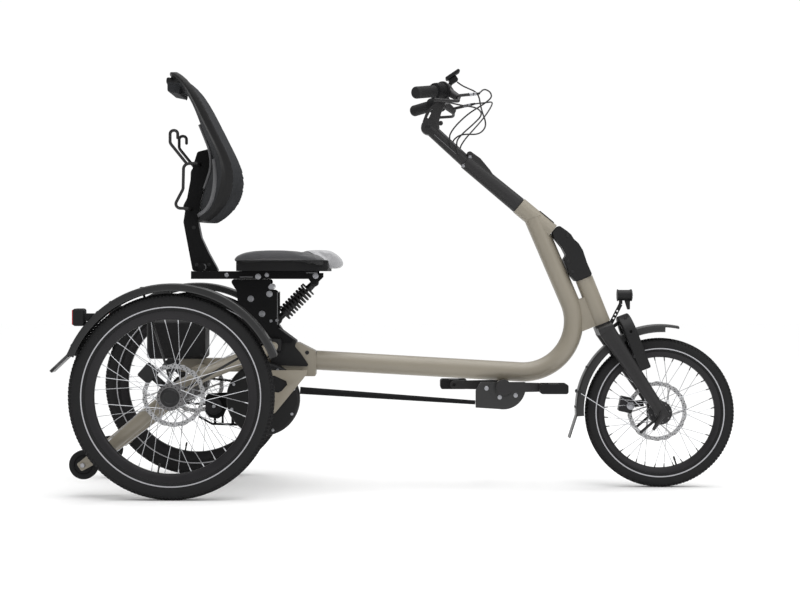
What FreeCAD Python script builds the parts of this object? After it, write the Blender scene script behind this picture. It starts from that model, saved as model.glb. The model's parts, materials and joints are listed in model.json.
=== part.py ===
"""Recumbent trike: one steered front wheel, two rear wheels, a meshed seat over a single bent main tube.

Millimetres. +X is forward, +Y the rider's left, +Z up. The origin is on the floor under the middle of the trike.
"""
import math
import os

import FreeCAD
import Part

Vector = FreeCAD.Vector
X_AXIS, Y_AXIS, Z_AXIS = Vector(1, 0, 0), Vector(0, 1, 0), Vector(0, 0, 1)
ORIGIN = Vector(0, 0, 0)
SIDES = (("right", -1), ("left", 1))

# Driving dimensions
overall_length = 2222.0
wheelbase = 1593.0
track = 700.0
rear_tyre_radius = 326.5
front_tyre_radius = 250.0
running_gap = 5.5
seat_gap = 0.3
cut_over = 2.0

# Tyres and wheels
tyre_width = 47.0
tyre_height = 57.5
rim_width = 28.0
rim_height = 25.0
rim_neck_width = 15.0
spoke_count = 36
spoke_size = 2.2
spoke_cross_angle = 58.0
flange_width = 3.0
rotor_radius = 101.5
rotor_band = 16.0
rotor_thickness = 2.0
rotor_arm_count = 6
rotor_arm_width = 7.0
rear_flange_radius = 41.0
rear_flange_spread = 34.0
rear_barrel_radius = 24.0
rear_cap_radius = 27.0
rear_cap_reach = 36.0
rear_rotor_inset = 58.0
front_flange_radius = 35.0
front_flange_spread = 29.0
front_barrel_radius = 15.0
front_rotor_inset = 46.0
axle_radius = 6.0

# Steering geometry in the side view
head_angle = 68.2
fork_offset = 68.0
head_bottom_up_axis = 349.0
head_length = 162.0
head_radius = 30.0
leg_behind_head = 73.0
leg_angle = 66.8
leg_reach = 333.0
riser_angle = 39.6

# Main tube
main_tube_radius = 32.5
main_bend_radius = 170.0
main_slope = 3.3
main_rear_ahead_of_hub = 441.0
main_rear_height = 425.0
steering_tube_radius = 30.0
steering_tube_above = 64.0
steering_tube_below = 76.0
head_gusset_width = 36.0
head_gusset_height = 104.0
head_bearing_height = 6.0
head_bearing_radius = 27.0
steerer_radius = 14.0

# Riser, stem and handlebar
riser_length = 231.0
riser_low_radius = 28.0
riser_top_radius = 25.0
riser_gap = 1.0
riser_shaft_radius = 13.0
stem_radius = 21.0
stem_back = 125.0
stem_rise = 115.0
bar_ahead_of_stem = 50.0
bar_height = 1303.0
bar_radius = 11.0
bar_flat_half = 60.0
bar_bend_radius = 45.0
grip_start_half = 176.0
grip_start_ahead = 22.0
grip_end_half = 300.0
grip_end_back = 92.5
grip_end_drop = 11.0
grip_radius = 19.5

# Cranks
crank_ahead_of_main_rear = 625.0
crank_height = 338.0
bracket_radius = 20.0
bracket_half_width = 36.0
crank_length = 160.0
crank_inside = 62.0
crank_thickness = 14.0
crank_width = 34.0
crank_boss_radius = 26.0
spindle_radius = 9.0
pedal_length = 92.0
pedal_width = 88.0
pedal_height = 32.0
pedal_pin_radius = 6.0


def cos(angle):
    return math.cos(math.radians(angle))


def sin(angle):
    return math.sin(math.radians(angle))


def side_point(x, z, y=0.0):
    return Vector(x, y, z)


def mirrored(shape):
    """The same piece on the other side of the trike."""
    return shape.mirror(ORIGIN, Y_AXIS)


def fused(shapes):
    first, rest = shapes[0], shapes[1:]
    return first.multiFuse(rest).removeSplitter() if rest else first


def rod(start, end, radius, end_radius=None):
    """Round bar, or cone, from start to end."""
    run = end - start
    if end_radius is None:
        return Part.makeCylinder(radius, run.Length, start, run)
    return Part.makeCone(radius, end_radius, run.Length, start, run)


def disc(centre, radius, half_width):
    """Round piece about an axis along Y, centred on its width."""
    return rod(centre - Y_AXIS * half_width, centre + Y_AXIS * half_width, radius)


corner_limit_share = 0.48


def tangent_corner(before, corner, after, radius):
    """Start, middle and end of the arc that rounds a corner, no larger than its shorter side allows."""
    shorter = min((before - corner).Length, (after - corner).Length)
    back = (before - corner).normalize()
    ahead = (after - corner).normalize()
    half = back.getAngle(ahead) / 2
    radius = min(radius, shorter * corner_limit_share * math.tan(half))
    reach = radius / math.tan(half)
    inward = (back + ahead).normalize()
    return corner + back * reach, corner + inward * (radius / math.sin(half) - radius), corner + ahead * reach


def bent_wire(points, radii):
    """Straight runs through the points, with a tangent arc at each inner one."""
    edges, last = [], points[0]
    for before, corner, after, radius in zip(points, points[1:], points[2:], radii):
        start, middle, end = tangent_corner(before, corner, after, radius)
        edges.append(Part.LineSegment(last, start).toShape())
        edges.append(Part.Arc(start, middle, end).toShape())
        last = end
    edges.append(Part.LineSegment(last, points[-1]).toShape())
    return Part.Wire(edges)


def bent_tube(points, radius, bend):
    """Round tube along straight runs and tangent arcs of one bend radius."""
    wire = bent_wire(points, [bend for corner in points[1:-1]])
    section = Part.Wire(Part.makeCircle(radius, points[0], points[1] - points[0]))
    return wire.makePipeShell([section], True, False)


def closed_outline(points, radius):
    """Closed wire with each corner rounded by the radius, or sharp at 0."""
    if not radius:
        return Part.makePolygon(list(points) + [points[0]])
    count, edges, last = len(points), [], None
    corners = [tangent_corner(points[i - 1], points[i], points[(i + 1) % count], radius) for i in range(count)]
    last = corners[-1][2]
    for start, middle, end in corners:
        edges.append(Part.LineSegment(last, start).toShape())
        edges.append(Part.Arc(start, middle, end).toShape())
        last = end
    return Part.Wire(edges)


def side_plate(outline, near, far, corner=0.0):
    """Plate whose side view is the outline of (x, z) places, from y = near to y = far."""
    wire = closed_outline([side_point(x, z, near) for x, z in outline], corner)
    return Part.Face(wire).extrude(Y_AXIS * (far - near))


def turned_about_y(profile, centre):
    """Ring turned about the Y line through centre, from a profile of (radius, y) corners."""
    points = [centre + Vector(radius, y, 0) for radius, y in profile]
    return Part.Face(Part.makePolygon(points + [points[0]])).revolve(centre, Y_AXIS, 360)


# Places worked out from the driving dimensions
front_hub = side_point(overall_length / 2 - front_tyre_radius, front_tyre_radius)
rear_hub_x = front_hub.x - wheelbase
head_up = Vector(-cos(head_angle), 0, sin(head_angle))
head_ahead = Vector(sin(head_angle), 0, cos(head_angle))
head_foot = front_hub - head_ahead * fork_offset
head_bottom = head_foot + head_up * head_bottom_up_axis
head_top = head_bottom + head_up * head_length
leg_up = Vector(-cos(leg_angle), 0, sin(leg_angle))
leg_start = (head_bottom + head_top) / 2 - head_ahead * leg_behind_head
leg_top = leg_start + leg_up * leg_reach
riser_up = Vector(-cos(riser_angle), 0, sin(riser_angle))
riser_foot = leg_top + riser_up * steering_tube_above
main_rear = side_point(rear_hub_x + main_rear_ahead_of_hub, main_rear_height)
main_forward = Vector(cos(main_slope), 0, -sin(main_slope))


def meeting(a, a_run, b, b_run):
    """Where two lines of the side view cross."""
    across = a_run.x * b_run.z - a_run.z * b_run.x
    share = ((b.x - a.x) * b_run.z - (b.z - a.z) * b_run.x) / across
    return a + a_run * share


main_corner = meeting(main_rear, main_forward, leg_start, leg_up)
joint_point = meeting(head_top, head_up, leg_top, riser_up)
crank_centre = side_point(main_rear.x + crank_ahead_of_main_rear, crank_height)


def rear_hub(side):
    return side_point(rear_hub_x, rear_tyre_radius, side * track / 2)


nodes = {}


# Wheels
hub_axle_radius = 10.0
hub_axle_length = 58.0
tyre_shares = ((0.0, 0.64), (0.42, 1.0), (0.8, 0.74), (1.0, 0.26))


def make_tyre(centre, outer_radius):
    """Closed ring of flat bands, from bead to bead over the tread, which sits on the rim."""
    seat, half = outer_radius - tyre_height, tyre_width / 2
    right = [(seat + tyre_height * reach_share, -half * half_share) for reach_share, half_share in tyre_shares]
    left = [(radius, -y) for radius, y in reversed(right)]
    return turned_about_y(right + left, centre)


rim_shoulder_share = 0.5
rim_bed_share = 0.3
rim_lip_share = 0.8


def make_rim(centre, outer_radius):
    """Box-section rim with a hollow bed under the tyre."""
    top = outer_radius - tyre_height - seat_gap
    neck = top - rim_height
    half, narrow = rim_width / 2, rim_neck_width / 2
    shoulder = neck + rim_height * rim_shoulder_share
    bed = top - rim_height * rim_bed_share
    lip = half * rim_lip_share
    profile = (
        (neck, -narrow), (neck, narrow), (shoulder, half), (top, half), (top, lip), (bed, lip * rim_lip_share),
        (bed, -lip * rim_lip_share), (top, -lip), (top, -half), (shoulder, -half),
    )
    return turned_about_y(profile, centre)


def make_spokes(centre, flange_radius, flange_spread, outer_radius):
    """Crossed flat spokes, half of them from each flange, led forward and back by turns."""
    end_radius = outer_radius - tyre_height - seat_gap - rim_height - seat_gap
    root_radius = flange_radius - spoke_size
    spokes = []
    for index in range(spoke_count):
        flange_side = 1 if index % 2 else -1
        lead = 1 if (index // 2) % 2 else -1
        rim_angle = index * 360 / spoke_count
        root_angle = rim_angle + lead * spoke_cross_angle
        root_y = flange_side * (flange_spread + lead * flange_width / 2)
        root = centre + Vector(root_radius * cos(root_angle), root_y, root_radius * sin(root_angle))
        end = centre + Vector(end_radius * cos(rim_angle), flange_side * spoke_size, end_radius * sin(rim_angle))
        run = end - root
        across = run.cross(Y_AXIS).normalize() * (spoke_size / 2)
        up = run.cross(across).normalize() * (spoke_size / 2)
        corners = [root + across, root + up, root - across, root - up]
        spokes.append(Part.Face(Part.makePolygon(corners + [corners[0]])).extrude(run))
    return spokes


rotor_arm_lean_angle = 12.0


def make_rotor(centre, y):
    """Brake disc: a band on curved arms, thin across Y."""
    middle = centre + Y_AXIS * y
    band = disc(middle, rotor_radius, rotor_thickness / 2).cut(
        disc(middle, rotor_radius - rotor_band, rotor_thickness))
    arms = []
    for index in range(rotor_arm_count):
        angle = index * 360 / rotor_arm_count
        reach = rotor_radius - rotor_band / 2
        arm = Part.makeBox(reach, rotor_thickness, rotor_arm_width,
                           middle - Vector(0, rotor_thickness / 2, rotor_arm_width / 2))
        arm.rotate(middle, Y_AXIS, angle + rotor_arm_lean_angle)
        arms.append(arm)
    return fused([band] + arms)


def make_rear_hub(side):
    """Hub shell with its cap outboard and the brake disc inboard."""
    centre = rear_hub(side)
    outboard = rear_cap_reach
    inboard = rear_rotor_inset + flange_width
    profile = (
        (0, -inboard - hub_axle_length), (hub_axle_radius, -inboard - hub_axle_length), (hub_axle_radius, -inboard),
        (rear_barrel_radius, -inboard),
        (rear_barrel_radius, -rear_flange_spread - flange_width),
        (rear_flange_radius, -rear_flange_spread - flange_width),
        (rear_flange_radius, -rear_flange_spread + flange_width),
        (rear_barrel_radius + flange_width, -rear_flange_spread + flange_width * 2),
        (rear_barrel_radius + flange_width, rear_flange_spread - flange_width * 3),
        (rear_flange_radius, rear_flange_spread - flange_width),
        (rear_flange_radius, rear_flange_spread + flange_width),
        (rear_cap_radius, rear_flange_spread + flange_width * 2), (rear_cap_radius, outboard + flange_width * 2),
        (rear_cap_radius - flange_width, outboard + flange_width * 3), (0, outboard + flange_width * 3),
    )
    shell = turned_about_y([(radius, side * y) for radius, y in profile], centre)
    spokes = make_spokes(centre, rear_flange_radius, rear_flange_spread, rear_tyre_radius)
    return fused([shell] + spokes + [make_rotor(centre, -side * rear_rotor_inset)])


def make_front_hub():
    profile = (
        (axle_radius + seat_gap, -front_flange_spread - flange_width * 3),
        (front_barrel_radius, -front_flange_spread - flange_width * 3),
        (front_flange_radius, -front_flange_spread - flange_width),
        (front_flange_radius, -front_flange_spread + flange_width),
        (front_barrel_radius, -front_flange_spread + flange_width * 3),
        (front_barrel_radius, front_flange_spread - flange_width * 3),
        (front_flange_radius, front_flange_spread - flange_width),
        (front_flange_radius, front_flange_spread + flange_width),
        (front_barrel_radius, front_flange_spread + flange_width * 3),
        (front_barrel_radius, front_rotor_inset + flange_width), (axle_radius + seat_gap, front_rotor_inset + flange_width),
    )
    shell = turned_about_y(profile, front_hub)
    spokes = make_spokes(front_hub, front_flange_radius, front_flange_spread, front_tyre_radius)
    rotor = make_rotor(front_hub, front_rotor_inset).cut(
        disc(front_hub + Y_AXIS * front_rotor_inset, axle_radius + seat_gap, front_rotor_inset))
    return fused([shell] + spokes + [rotor])


def make_wheels():
    """Tyre and wheel of the front and of each rear side."""
    nodes["front_tyre"] = make_tyre(front_hub, front_tyre_radius)
    nodes["front_wheel"] = Part.makeCompound([make_rim(front_hub, front_tyre_radius), make_front_hub()])
    for name, side in SIDES:
        centre = rear_hub(side)
        nodes["rear_tyre_" + name] = make_tyre(centre, rear_tyre_radius)
        nodes["rear_wheel_" + name] = Part.makeCompound([make_rim(centre, rear_tyre_radius), make_rear_hub(side)])


# Frame: main tube and head tube

def make_main_tube():
    """One bent tube from the rear frame, under the rider, up to the tube that holds the riser."""
    tube = bent_tube([main_rear, main_corner, leg_top], main_tube_radius, main_bend_radius)
    holder = rod(leg_top - riser_up * steering_tube_below, riser_foot, steering_tube_radius)
    bore = rod(leg_top - riser_up * (steering_tube_below + cut_over), riser_foot + riser_up * cut_over,
               riser_shaft_radius + seat_gap)
    shell = disc(crank_centre, bracket_radius, bracket_half_width)
    spindle_bore = disc(crank_centre, spindle_radius + seat_gap, bracket_half_width + cut_over)
    return fused([tube, holder, shell]).cut(bore).cut(spindle_bore)


def make_head_tube(main_tube):
    """Head tube with its gusset back to the main tube."""
    tube = rod(head_bottom, head_top, head_radius)
    low = head_bottom
    high = head_bottom + head_up * head_gusset_height
    back = -head_ahead * leg_behind_head
    corners = [low, high, high + back, low + back]
    face = Part.Face(Part.makePolygon([corner - Y_AXIS * head_gusset_width / 2 for corner in corners + [corners[0]]]))
    gusset = face.extrude(Y_AXIS * head_gusset_width)
    bore = rod(head_bottom - head_up * cut_over, head_top + head_up * cut_over, steerer_radius + seat_gap)
    return fused([tube, gusset]).cut(bore).cut(main_tube)


# Rear frame: two bent side tubes, cross beam, wheel bearings and the gear carrier
battery_base = 432.0
side_tube_radius = 22.5
side_tube_bend = 130.0
side_front_behind_main = 128.0
side_front_height = 478.0
side_front_half = 46.0
side_corner_ahead_of_hub = 42.0
side_corner_above_hub = 44.0
side_corner_inset = 106.0
side_end_behind_hub = 250.0
side_end_below_hub = 196.0
side_end_inset = 112.0
cross_beam_radius = 17.0
cross_beam_ahead_of_hub = 60.0
cross_beam_above_hub = 72.0
bearing_radius = 30.0
bearing_gap = 3.0
cross_member_length = 150.0
cross_member_width = 78.0
cross_member_height = 112.0
cross_member_drop = 52.0
cross_member_shares = ((0.0, 0.0), (1.0, 0.0), (1.0, 0.74), (0.62, 1.0), (0.0, 1.0))
spine_width = 56.0
spine_height = 44.0
spine_length = 330.0
carrier_thickness = 6.0
carrier_half = 42.0
carrier_corner = 12.0
drive_ahead_of_hub = 268.0
drive_below_hub = 26.5

side_corner_half = track / 2 - side_corner_inset
side_end_half = track / 2 - side_end_inset
side_corner = side_point(rear_hub_x + side_corner_ahead_of_hub, rear_tyre_radius + side_corner_above_hub,
                         side_corner_half)
side_front = side_point(main_rear.x - side_front_behind_main, side_front_height, side_front_half)
side_end = side_point(rear_hub_x - side_end_behind_hub, rear_tyre_radius - side_end_below_hub, side_end_half)
drive_centre = side_point(rear_hub_x + drive_ahead_of_hub, rear_tyre_radius - drive_below_hub)
bearing_outer = track / 2 - rear_rotor_inset - rotor_thickness / 2 - running_gap - bearing_gap


def bearing_end(side, y):
    """A place on the rear axle line at a distance y out from the middle."""
    return side_point(rear_hub_x, rear_tyre_radius, side * y)


def make_rear_frame():
    """Welded tubes that spread from the main tube to the rear wheels and on to the rollers."""
    tube = bent_tube([side_front, side_corner, side_end], side_tube_radius, side_tube_bend)
    bearing = rod(bearing_end(1, side_corner_half - side_tube_radius * 2), bearing_end(1, bearing_outer), bearing_radius)
    bore = rod(bearing_end(1, 0), bearing_end(1, track / 2), hub_axle_radius + seat_gap)
    beam_place = Vector(rear_hub_x + cross_beam_ahead_of_hub, 0, rear_tyre_radius + cross_beam_above_hub)
    beam = rod(beam_place, beam_place + Y_AXIS * side_corner_half, cross_beam_radius)
    front = main_rear - X_AXIS * cross_member_length
    outline = [(front.x + cross_member_length * x_share, main_rear.z - cross_member_drop + cross_member_height * z_share)
               for x_share, z_share in cross_member_shares]
    member = side_plate(outline, -cross_member_width / 2, cross_member_width / 2, carrier_thickness)
    spine = Part.makeBox(spine_length, spine_width, spine_height,
                         Vector(front.x - spine_length + side_tube_radius, -spine_width / 2,
                                battery_base - seat_gap - spine_height))
    pieces = [member, spine]
    for piece in (tube, bearing, beam):
        pieces += [piece, mirrored(piece)]
    pieces += [make_carrier(-1), make_carrier(1)]
    axle = disc(drive_centre, axle_radius + seat_gap, carrier_half * 2)
    return fused(pieces).cut(bore).cut(mirrored(bore)).cut(axle)


carrier_reach = 36.0
carrier_window_radius = 19.0
carrier_window_ahead = 52.0
carrier_window_above = 42.0


def make_carrier(side):
    """Plate that hangs from the cross member and holds the gear unit on one side."""
    top = main_rear.z - cross_member_drop + carrier_thickness
    front, back = main_rear.x - carrier_corner * 2, main_rear.x - cross_member_length + carrier_corner
    low = drive_centre.z - carrier_reach
    outline = [(front, top), (front - carrier_corner, top - carrier_thickness), (drive_centre.x + carrier_reach, low),
               (drive_centre.x - carrier_reach, low), (drive_centre.x - carrier_reach, drive_centre.z + carrier_reach),
               (back, top)]
    near = side * carrier_half
    plate = side_plate(outline, min(near, near + side * carrier_thickness), max(near, near + side * carrier_thickness),
                       carrier_corner)
    window = disc(side_point(drive_centre.x + carrier_window_ahead, drive_centre.z + carrier_window_above, near),
                  carrier_window_radius, carrier_thickness * 2)
    return plate.cut(window)


# Rollers at the tail
roller_radius = 47.5
roller_width = 26.0
roller_behind_hub = 295.0
roller_below_hub = 225.5
roller_inset = 104.0
roller_pin_radius = 6.0
roller_tyre_height = 14.0
roller_fork_thickness = 5.0
roller_fork_corner = 14.0


def roller_centre(side):
    return Vector(rear_hub_x - roller_behind_hub, side * (track / 2 - roller_inset), rear_tyre_radius - roller_below_hub)


groove_share = 0.3


def make_roller(side):
    centre = roller_centre(side)
    half = roller_width / 2
    groove = roller_width * groove_share
    profile = (
        (roller_pin_radius + seat_gap, -half), (roller_radius - roller_tyre_height, -half),
        (roller_radius - roller_tyre_height * groove_share, -half), (roller_radius, -groove), (roller_radius, groove),
        (roller_radius - roller_tyre_height * groove_share, half), (roller_pin_radius + seat_gap, half),
    )
    return turned_about_y(profile, centre)


def make_roller_fork(side):
    """Two cheeks and a bridge on the end of the side tube, with the roller's pin."""
    centre = roller_centre(side)
    end = Vector(side_end.x, side * side_end.y, side_end.z)
    gap = roller_width / 2 + running_gap
    along = (Vector(side_end.x, 0, side_end.z) - Vector(centre.x, 0, centre.z)).normalize()
    across = along.cross(Y_AXIS)
    head = Vector(centre.x, 0, centre.z) + along * (roller_radius + running_gap)
    tip = Vector(centre.x, 0, centre.z) - along * roller_fork_corner
    wide = across * side_tube_radius
    narrow = across * roller_fork_corner
    back = along * roller_fork_corner * 2
    outline = [(place.x, place.z) for place in (head + back + wide, head + back - wide, tip - narrow, tip + narrow)]
    outer = gap + roller_fork_thickness
    cheeks = side_plate(outline, centre.y - outer, centre.y + outer, roller_fork_thickness)
    slot_outline = [(place.x, place.z) for place in (
        head + wide * 2, head - wide * 2, tip - along * roller_radius - wide * 2, tip - along * roller_radius + wide * 2)]
    slot = side_plate(slot_outline, centre.y - gap, centre.y + gap)
    pin = disc(centre, roller_pin_radius, outer + roller_fork_thickness)
    corner_place = Vector(side_corner.x, side * side_corner.y, side_corner.z)
    tube = rod(end, end + (corner_place - end).normalize() * (side_tube_radius * 4), side_tube_radius)
    return fused([cheeks.cut(slot), pin]).cut(tube)


# Gear unit under the seat, with the second chain to the rear axle
drive_cover_radius = 122.0
drive_cover_depth = 34.0
drive_cover_edge = 10.0
drive_cover_inset = 88.0
gear_radius = 62.0
gear_half = 36.0
gear_sprocket_radius = 40.0
axle_sprocket_radius = 46.0
sprocket_thickness = 3.0
sprocket_teeth = 22
second_chain_y = 14.0
chain_width = 8.0
chain_height = 9.0
drive_shaft_radius = 10.0
differential_radius = 34.0
differential_half = 44.0


def make_drive_cover():
    """Domed round cover on the near side of the gear unit."""
    near = Vector(drive_centre.x, -drive_cover_inset, drive_centre.z)
    face = disc(near + Y_AXIS * drive_cover_depth / 2, drive_cover_radius, drive_cover_depth / 2)
    edges = [edge for edge in face.Edges if abs(edge.CenterOfMass.y - near.y) < running_gap]
    return face.makeFillet(drive_cover_edge, edges)


def make_gear_unit():
    """Gear hub between the carrier plates, on its axle."""
    groove = chain_width / 2 + sprocket_thickness
    neck = gear_sprocket_radius - chain_height
    profile = (
        (0, -gear_half), (gear_radius, -gear_half), (gear_radius, second_chain_y - groove),
        (neck, second_chain_y - groove), (neck, second_chain_y + groove), (gear_radius, second_chain_y + groove),
        (gear_radius, gear_half), (0, gear_half),
    )
    hub = turned_about_y(profile, drive_centre)
    axle = disc(drive_centre, axle_radius, carrier_half + carrier_thickness * 2)
    sprocket = toothed_disc(drive_centre + Y_AXIS * second_chain_y, gear_sprocket_radius - chain_height,
                            sprocket_thickness / 2, sprocket_teeth)
    return fused([hub, axle, sprocket])


def toothed_disc(centre, radius, half_width, teeth):
    """Sprocket with one pointed tooth to each link."""
    root = radius - chain_height / 2
    tip = radius + chain_height / 2
    points = []
    for index in range(teeth):
        for part_share, reach in ((0.0, root), (0.3, root), (0.5, tip), (0.7, root)):
            angle = (index + part_share) * 360 / teeth
            points.append(centre + Vector(reach * cos(angle), -half_width, reach * sin(angle)))
    return Part.Face(Part.makePolygon(points + [points[0]])).extrude(Y_AXIS * half_width * 2)


def tangent_places(a, a_radius, b, b_radius, side):
    """Where an outer tangent touches two circles of the side view."""
    run = b - a
    base = math.degrees(math.atan2(run.z, run.x))
    lean = math.degrees(math.acos((a_radius - b_radius) / run.Length))
    angle = base + side * lean
    normal = Vector(cos(angle), 0, sin(angle))
    return a + normal * a_radius, b + normal * b_radius


def chain_loop(a, a_radius, b, b_radius, y, width, height):
    """Flat band around two sprockets."""
    def loop(grow):
        high_a, high_b = tangent_places(a, a_radius + grow, b, b_radius + grow, 1)
        low_a, low_b = tangent_places(a, a_radius + grow, b, b_radius + grow, -1)
        away = (a - b).normalize()
        edges = [
            Part.LineSegment(high_a, high_b), Part.Arc(high_b, b - away * (b_radius + grow), low_b),
            Part.LineSegment(low_b, low_a), Part.Arc(low_a, a + away * (a_radius + grow), high_a),
        ]
        wire = Part.Wire([edge.toShape() for edge in edges])
        wire.translate(Y_AXIS * (y - width / 2))
        return Part.Face(wire)
    return loop(height / 2).cut(loop(-height / 2)).extrude(Y_AXIS * width)


def make_second_drive():
    """Second chain from the gear unit to the differential, with its tensioner and drive shaft."""
    hub = Vector(rear_hub_x, 0, rear_tyre_radius)
    shaft = rod(hub - Y_AXIS * (side_corner_half - side_tube_radius * 2 - seat_gap), hub + Y_AXIS * (
        side_corner_half - side_tube_radius * 2 - seat_gap), drive_shaft_radius)
    case = disc(hub - Y_AXIS * (differential_half + second_chain_y - sprocket_thickness), differential_radius,
                differential_half)
    sprocket = toothed_disc(hub + Y_AXIS * second_chain_y, axle_sprocket_radius - chain_height, sprocket_thickness / 2,
                            sprocket_teeth)
    chain = chain_loop(drive_centre, gear_sprocket_radius, hub, axle_sprocket_radius, second_chain_y, chain_width,
                       chain_height)
    return Part.makeCompound([fused([shaft, case, sprocket]), chain])


# Battery behind the seat, on the end of the spine
battery_length = 194.0
battery_width = 150.0
battery_height = 128.0
battery_behind_hub = 119.0
battery_corner = 12.0


def make_battery():
    """Battery case with rounded edges."""
    box = Part.makeBox(battery_length, battery_width, battery_height,
                       Vector(rear_hub_x - battery_behind_hub, -battery_width / 2, battery_base))
    return box.makeFillet(battery_corner, box.Edges)


# Dark fairing over the rear end of the main tube
fairing_length = 129.0
fairing_half = 46.0
fairing_height = 124.0
fairing_below_main = 14.0
fairing_corner = 8.0
fairing_shares = ((0.0, 0.0), (1.0, -0.04), (0.915, 0.1), (0.78, 0.31), (0.62, 0.5), (0.67, 0.64), (0.21, 0.97), (0.0, 1.0))


def make_fairing(rear_frame, main_tube):
    """Moulded cover over the block where the tubes meet."""
    base = main_rear.z - fairing_below_main
    back = main_rear.x - cross_member_length
    outline = [(back + fairing_length * x_share, base + fairing_height * z_share) for x_share, z_share in fairing_shares]
    return side_plate(outline, -fairing_half, fairing_half, fairing_corner).cut(rear_frame).cut(main_tube)


# Seat: adjusting plates, rails, sprung pan and cushion
seat_base_height = 724.0
rail_radius = 13.0
rail_width = 20.0
rail_half = 62.0
rail_length = 420.0
rail_rear_x_from_hub = 28.0
plate_thickness = 6.0
plate_foot_height = 484.0
plate_corner = 10.0
pan_length = 300.0
pan_width = 330.0
pan_thickness = 8.0
pan_skirt = 26.0
pan_wall = 8.0
pan_rear_from_hub = 186.0
cushion_length = 323.0
cushion_width = 410.0
cushion_height = 47.0
cushion_rear_from_hub = 164.0
cushion_corner = 8.0
cushion_plan_corner = 70.0
cushion_drop = 18.0
cushion_shares = ((0.0, 0.23), (0.06, 0.66), (0.14, 0.85), (0.24, 0.96), (0.38, 1.0), (0.55, 1.0), (0.68, 0.94),
                  (0.93, 0.62), (1.0, 0.4), (1.0, 0.0), (0.9, 0.0), (0.85, 0.2), (0.75, 0.41), (0.62, 0.47),
                  (0.34, 0.44), (0.18, 0.34))
nose_length = 132.0
nose_width = 190.0
nose_height = 60.0
nose_overhang = 46.0
nose_corner = 10.0
nose_shares = ((0.0, 0.3), (0.0, 0.93), (0.23, 1.0), (0.53, 1.0), (0.71, 0.95), (0.86, 0.78), (0.96, 0.55), (1.0, 0.36),
               (0.97, 0.12), (0.86, 0.02), (0.6, 0.0), (0.35, 0.2))

rail_height = seat_base_height - rail_radius - seat_gap
rail_rear = rear_hub_x + rail_rear_x_from_hub
cushion_base = seat_base_height + pan_skirt + pan_thickness - cushion_drop
plate_half = fairing_half + seat_gap + plate_thickness / 2


rail_bar_shares = (0.06, 0.97)
rail_bar_size_share = 0.8


def make_seat_rail():
    """Two rails joined by cross bars."""
    pieces = []
    for name, side in SIDES:
        pieces.append(Part.makeBox(rail_length, rail_width, rail_radius * 2,
                                   Vector(rail_rear, side * rail_half - rail_width / 2, rail_height - rail_radius)))
    for share in rail_bar_shares:
        place = Vector(rail_rear + rail_length * share, 0, rail_height)
        pieces.append(disc(place, rail_radius * rail_bar_size_share, rail_half))
    return fused(pieces)


def make_seat_pan():
    """Shallow pan that stands on the rails, hollow from below, under the cushion."""
    rear = rear_hub_x + pan_rear_from_hub
    height = pan_skirt + pan_thickness
    block = Part.makeBox(pan_length, pan_width, height, Vector(rear, -pan_width / 2, seat_base_height))
    block = block.makeFillet(pan_thickness, [edge for edge in block.Edges if abs(edge.tangentAt(0).z) > 1 / 2])
    hollow = Part.makeBox(pan_length - pan_wall * 2, pan_width - pan_wall * 2, pan_skirt,
                          Vector(rear + pan_wall, -pan_width / 2 + pan_wall, seat_base_height))
    bars = []
    for name, side in SIDES:
        bars.append(Part.makeBox(pan_length - pan_wall * 2, rail_width, pan_skirt, Vector(
            rear + pan_wall, side * rail_half - rail_width / 2, seat_base_height)))
    return block.cut(hollow.cut(bars[0]).cut(bars[1]))


def make_cushion(pan):
    """Crowned cushion with a round plan and a broad nose, let down over the pan."""
    rear = rear_hub_x + cushion_rear_from_hub
    outline = [(rear + cushion_length * x_share, cushion_base + cushion_height * z_share)
               for x_share, z_share in cushion_shares]
    body = side_plate(outline, -cushion_width / 2, cushion_width / 2, cushion_corner)
    low, high = cushion_base - cut_over, cushion_base + nose_height + cut_over
    plan = closed_outline([Vector(x, y, low) for x, y in (
        (rear, -cushion_width / 2), (rear + cushion_length, -cushion_width / 2),
        (rear + cushion_length, cushion_width / 2), (rear, cushion_width / 2))], cushion_plan_corner)
    body = body.common(Part.Face(plan).extrude(Z_AXIS * (high - low)))
    nose_rear = rear + cushion_length + nose_overhang - nose_length
    nose_base = cushion_base - nose_corner
    outline = [(nose_rear + nose_length * x_share, nose_base + nose_height * z_share) for x_share, z_share in nose_shares]
    nose = side_plate(outline, -nose_width / 2, nose_width / 2, nose_corner)
    room = Part.makeBox(pan_length + seat_gap * 2, pan_width + seat_gap * 2, pan_skirt + pan_thickness + seat_gap,
                        Vector(rear_hub_x + pan_rear_from_hub - seat_gap, -pan_width / 2 - seat_gap, seat_base_height))
    return fused([body, nose]).cut(room)


# Damper and spring under the seat's front edge
shock_low_ahead = 284.0
shock_low_height = 560.0
shock_pin_radius = 5.0
damper_radius = 12.0
damper_eye_radius = 14.0
spring_radius = 23.0
spring_wire = 4.0
spring_turns = 8
spring_share = 0.6
coil_steps = 12

wire_clearance = 4.0

shock_low = side_point(rail_rear + shock_low_ahead, shock_low_height)
shock_bar = side_point(rail_rear + rail_length * rail_bar_shares[1], rail_height)
shock_top = shock_bar - Z_AXIS * (rail_radius * rail_bar_size_share + seat_gap + damper_eye_radius)


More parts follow.
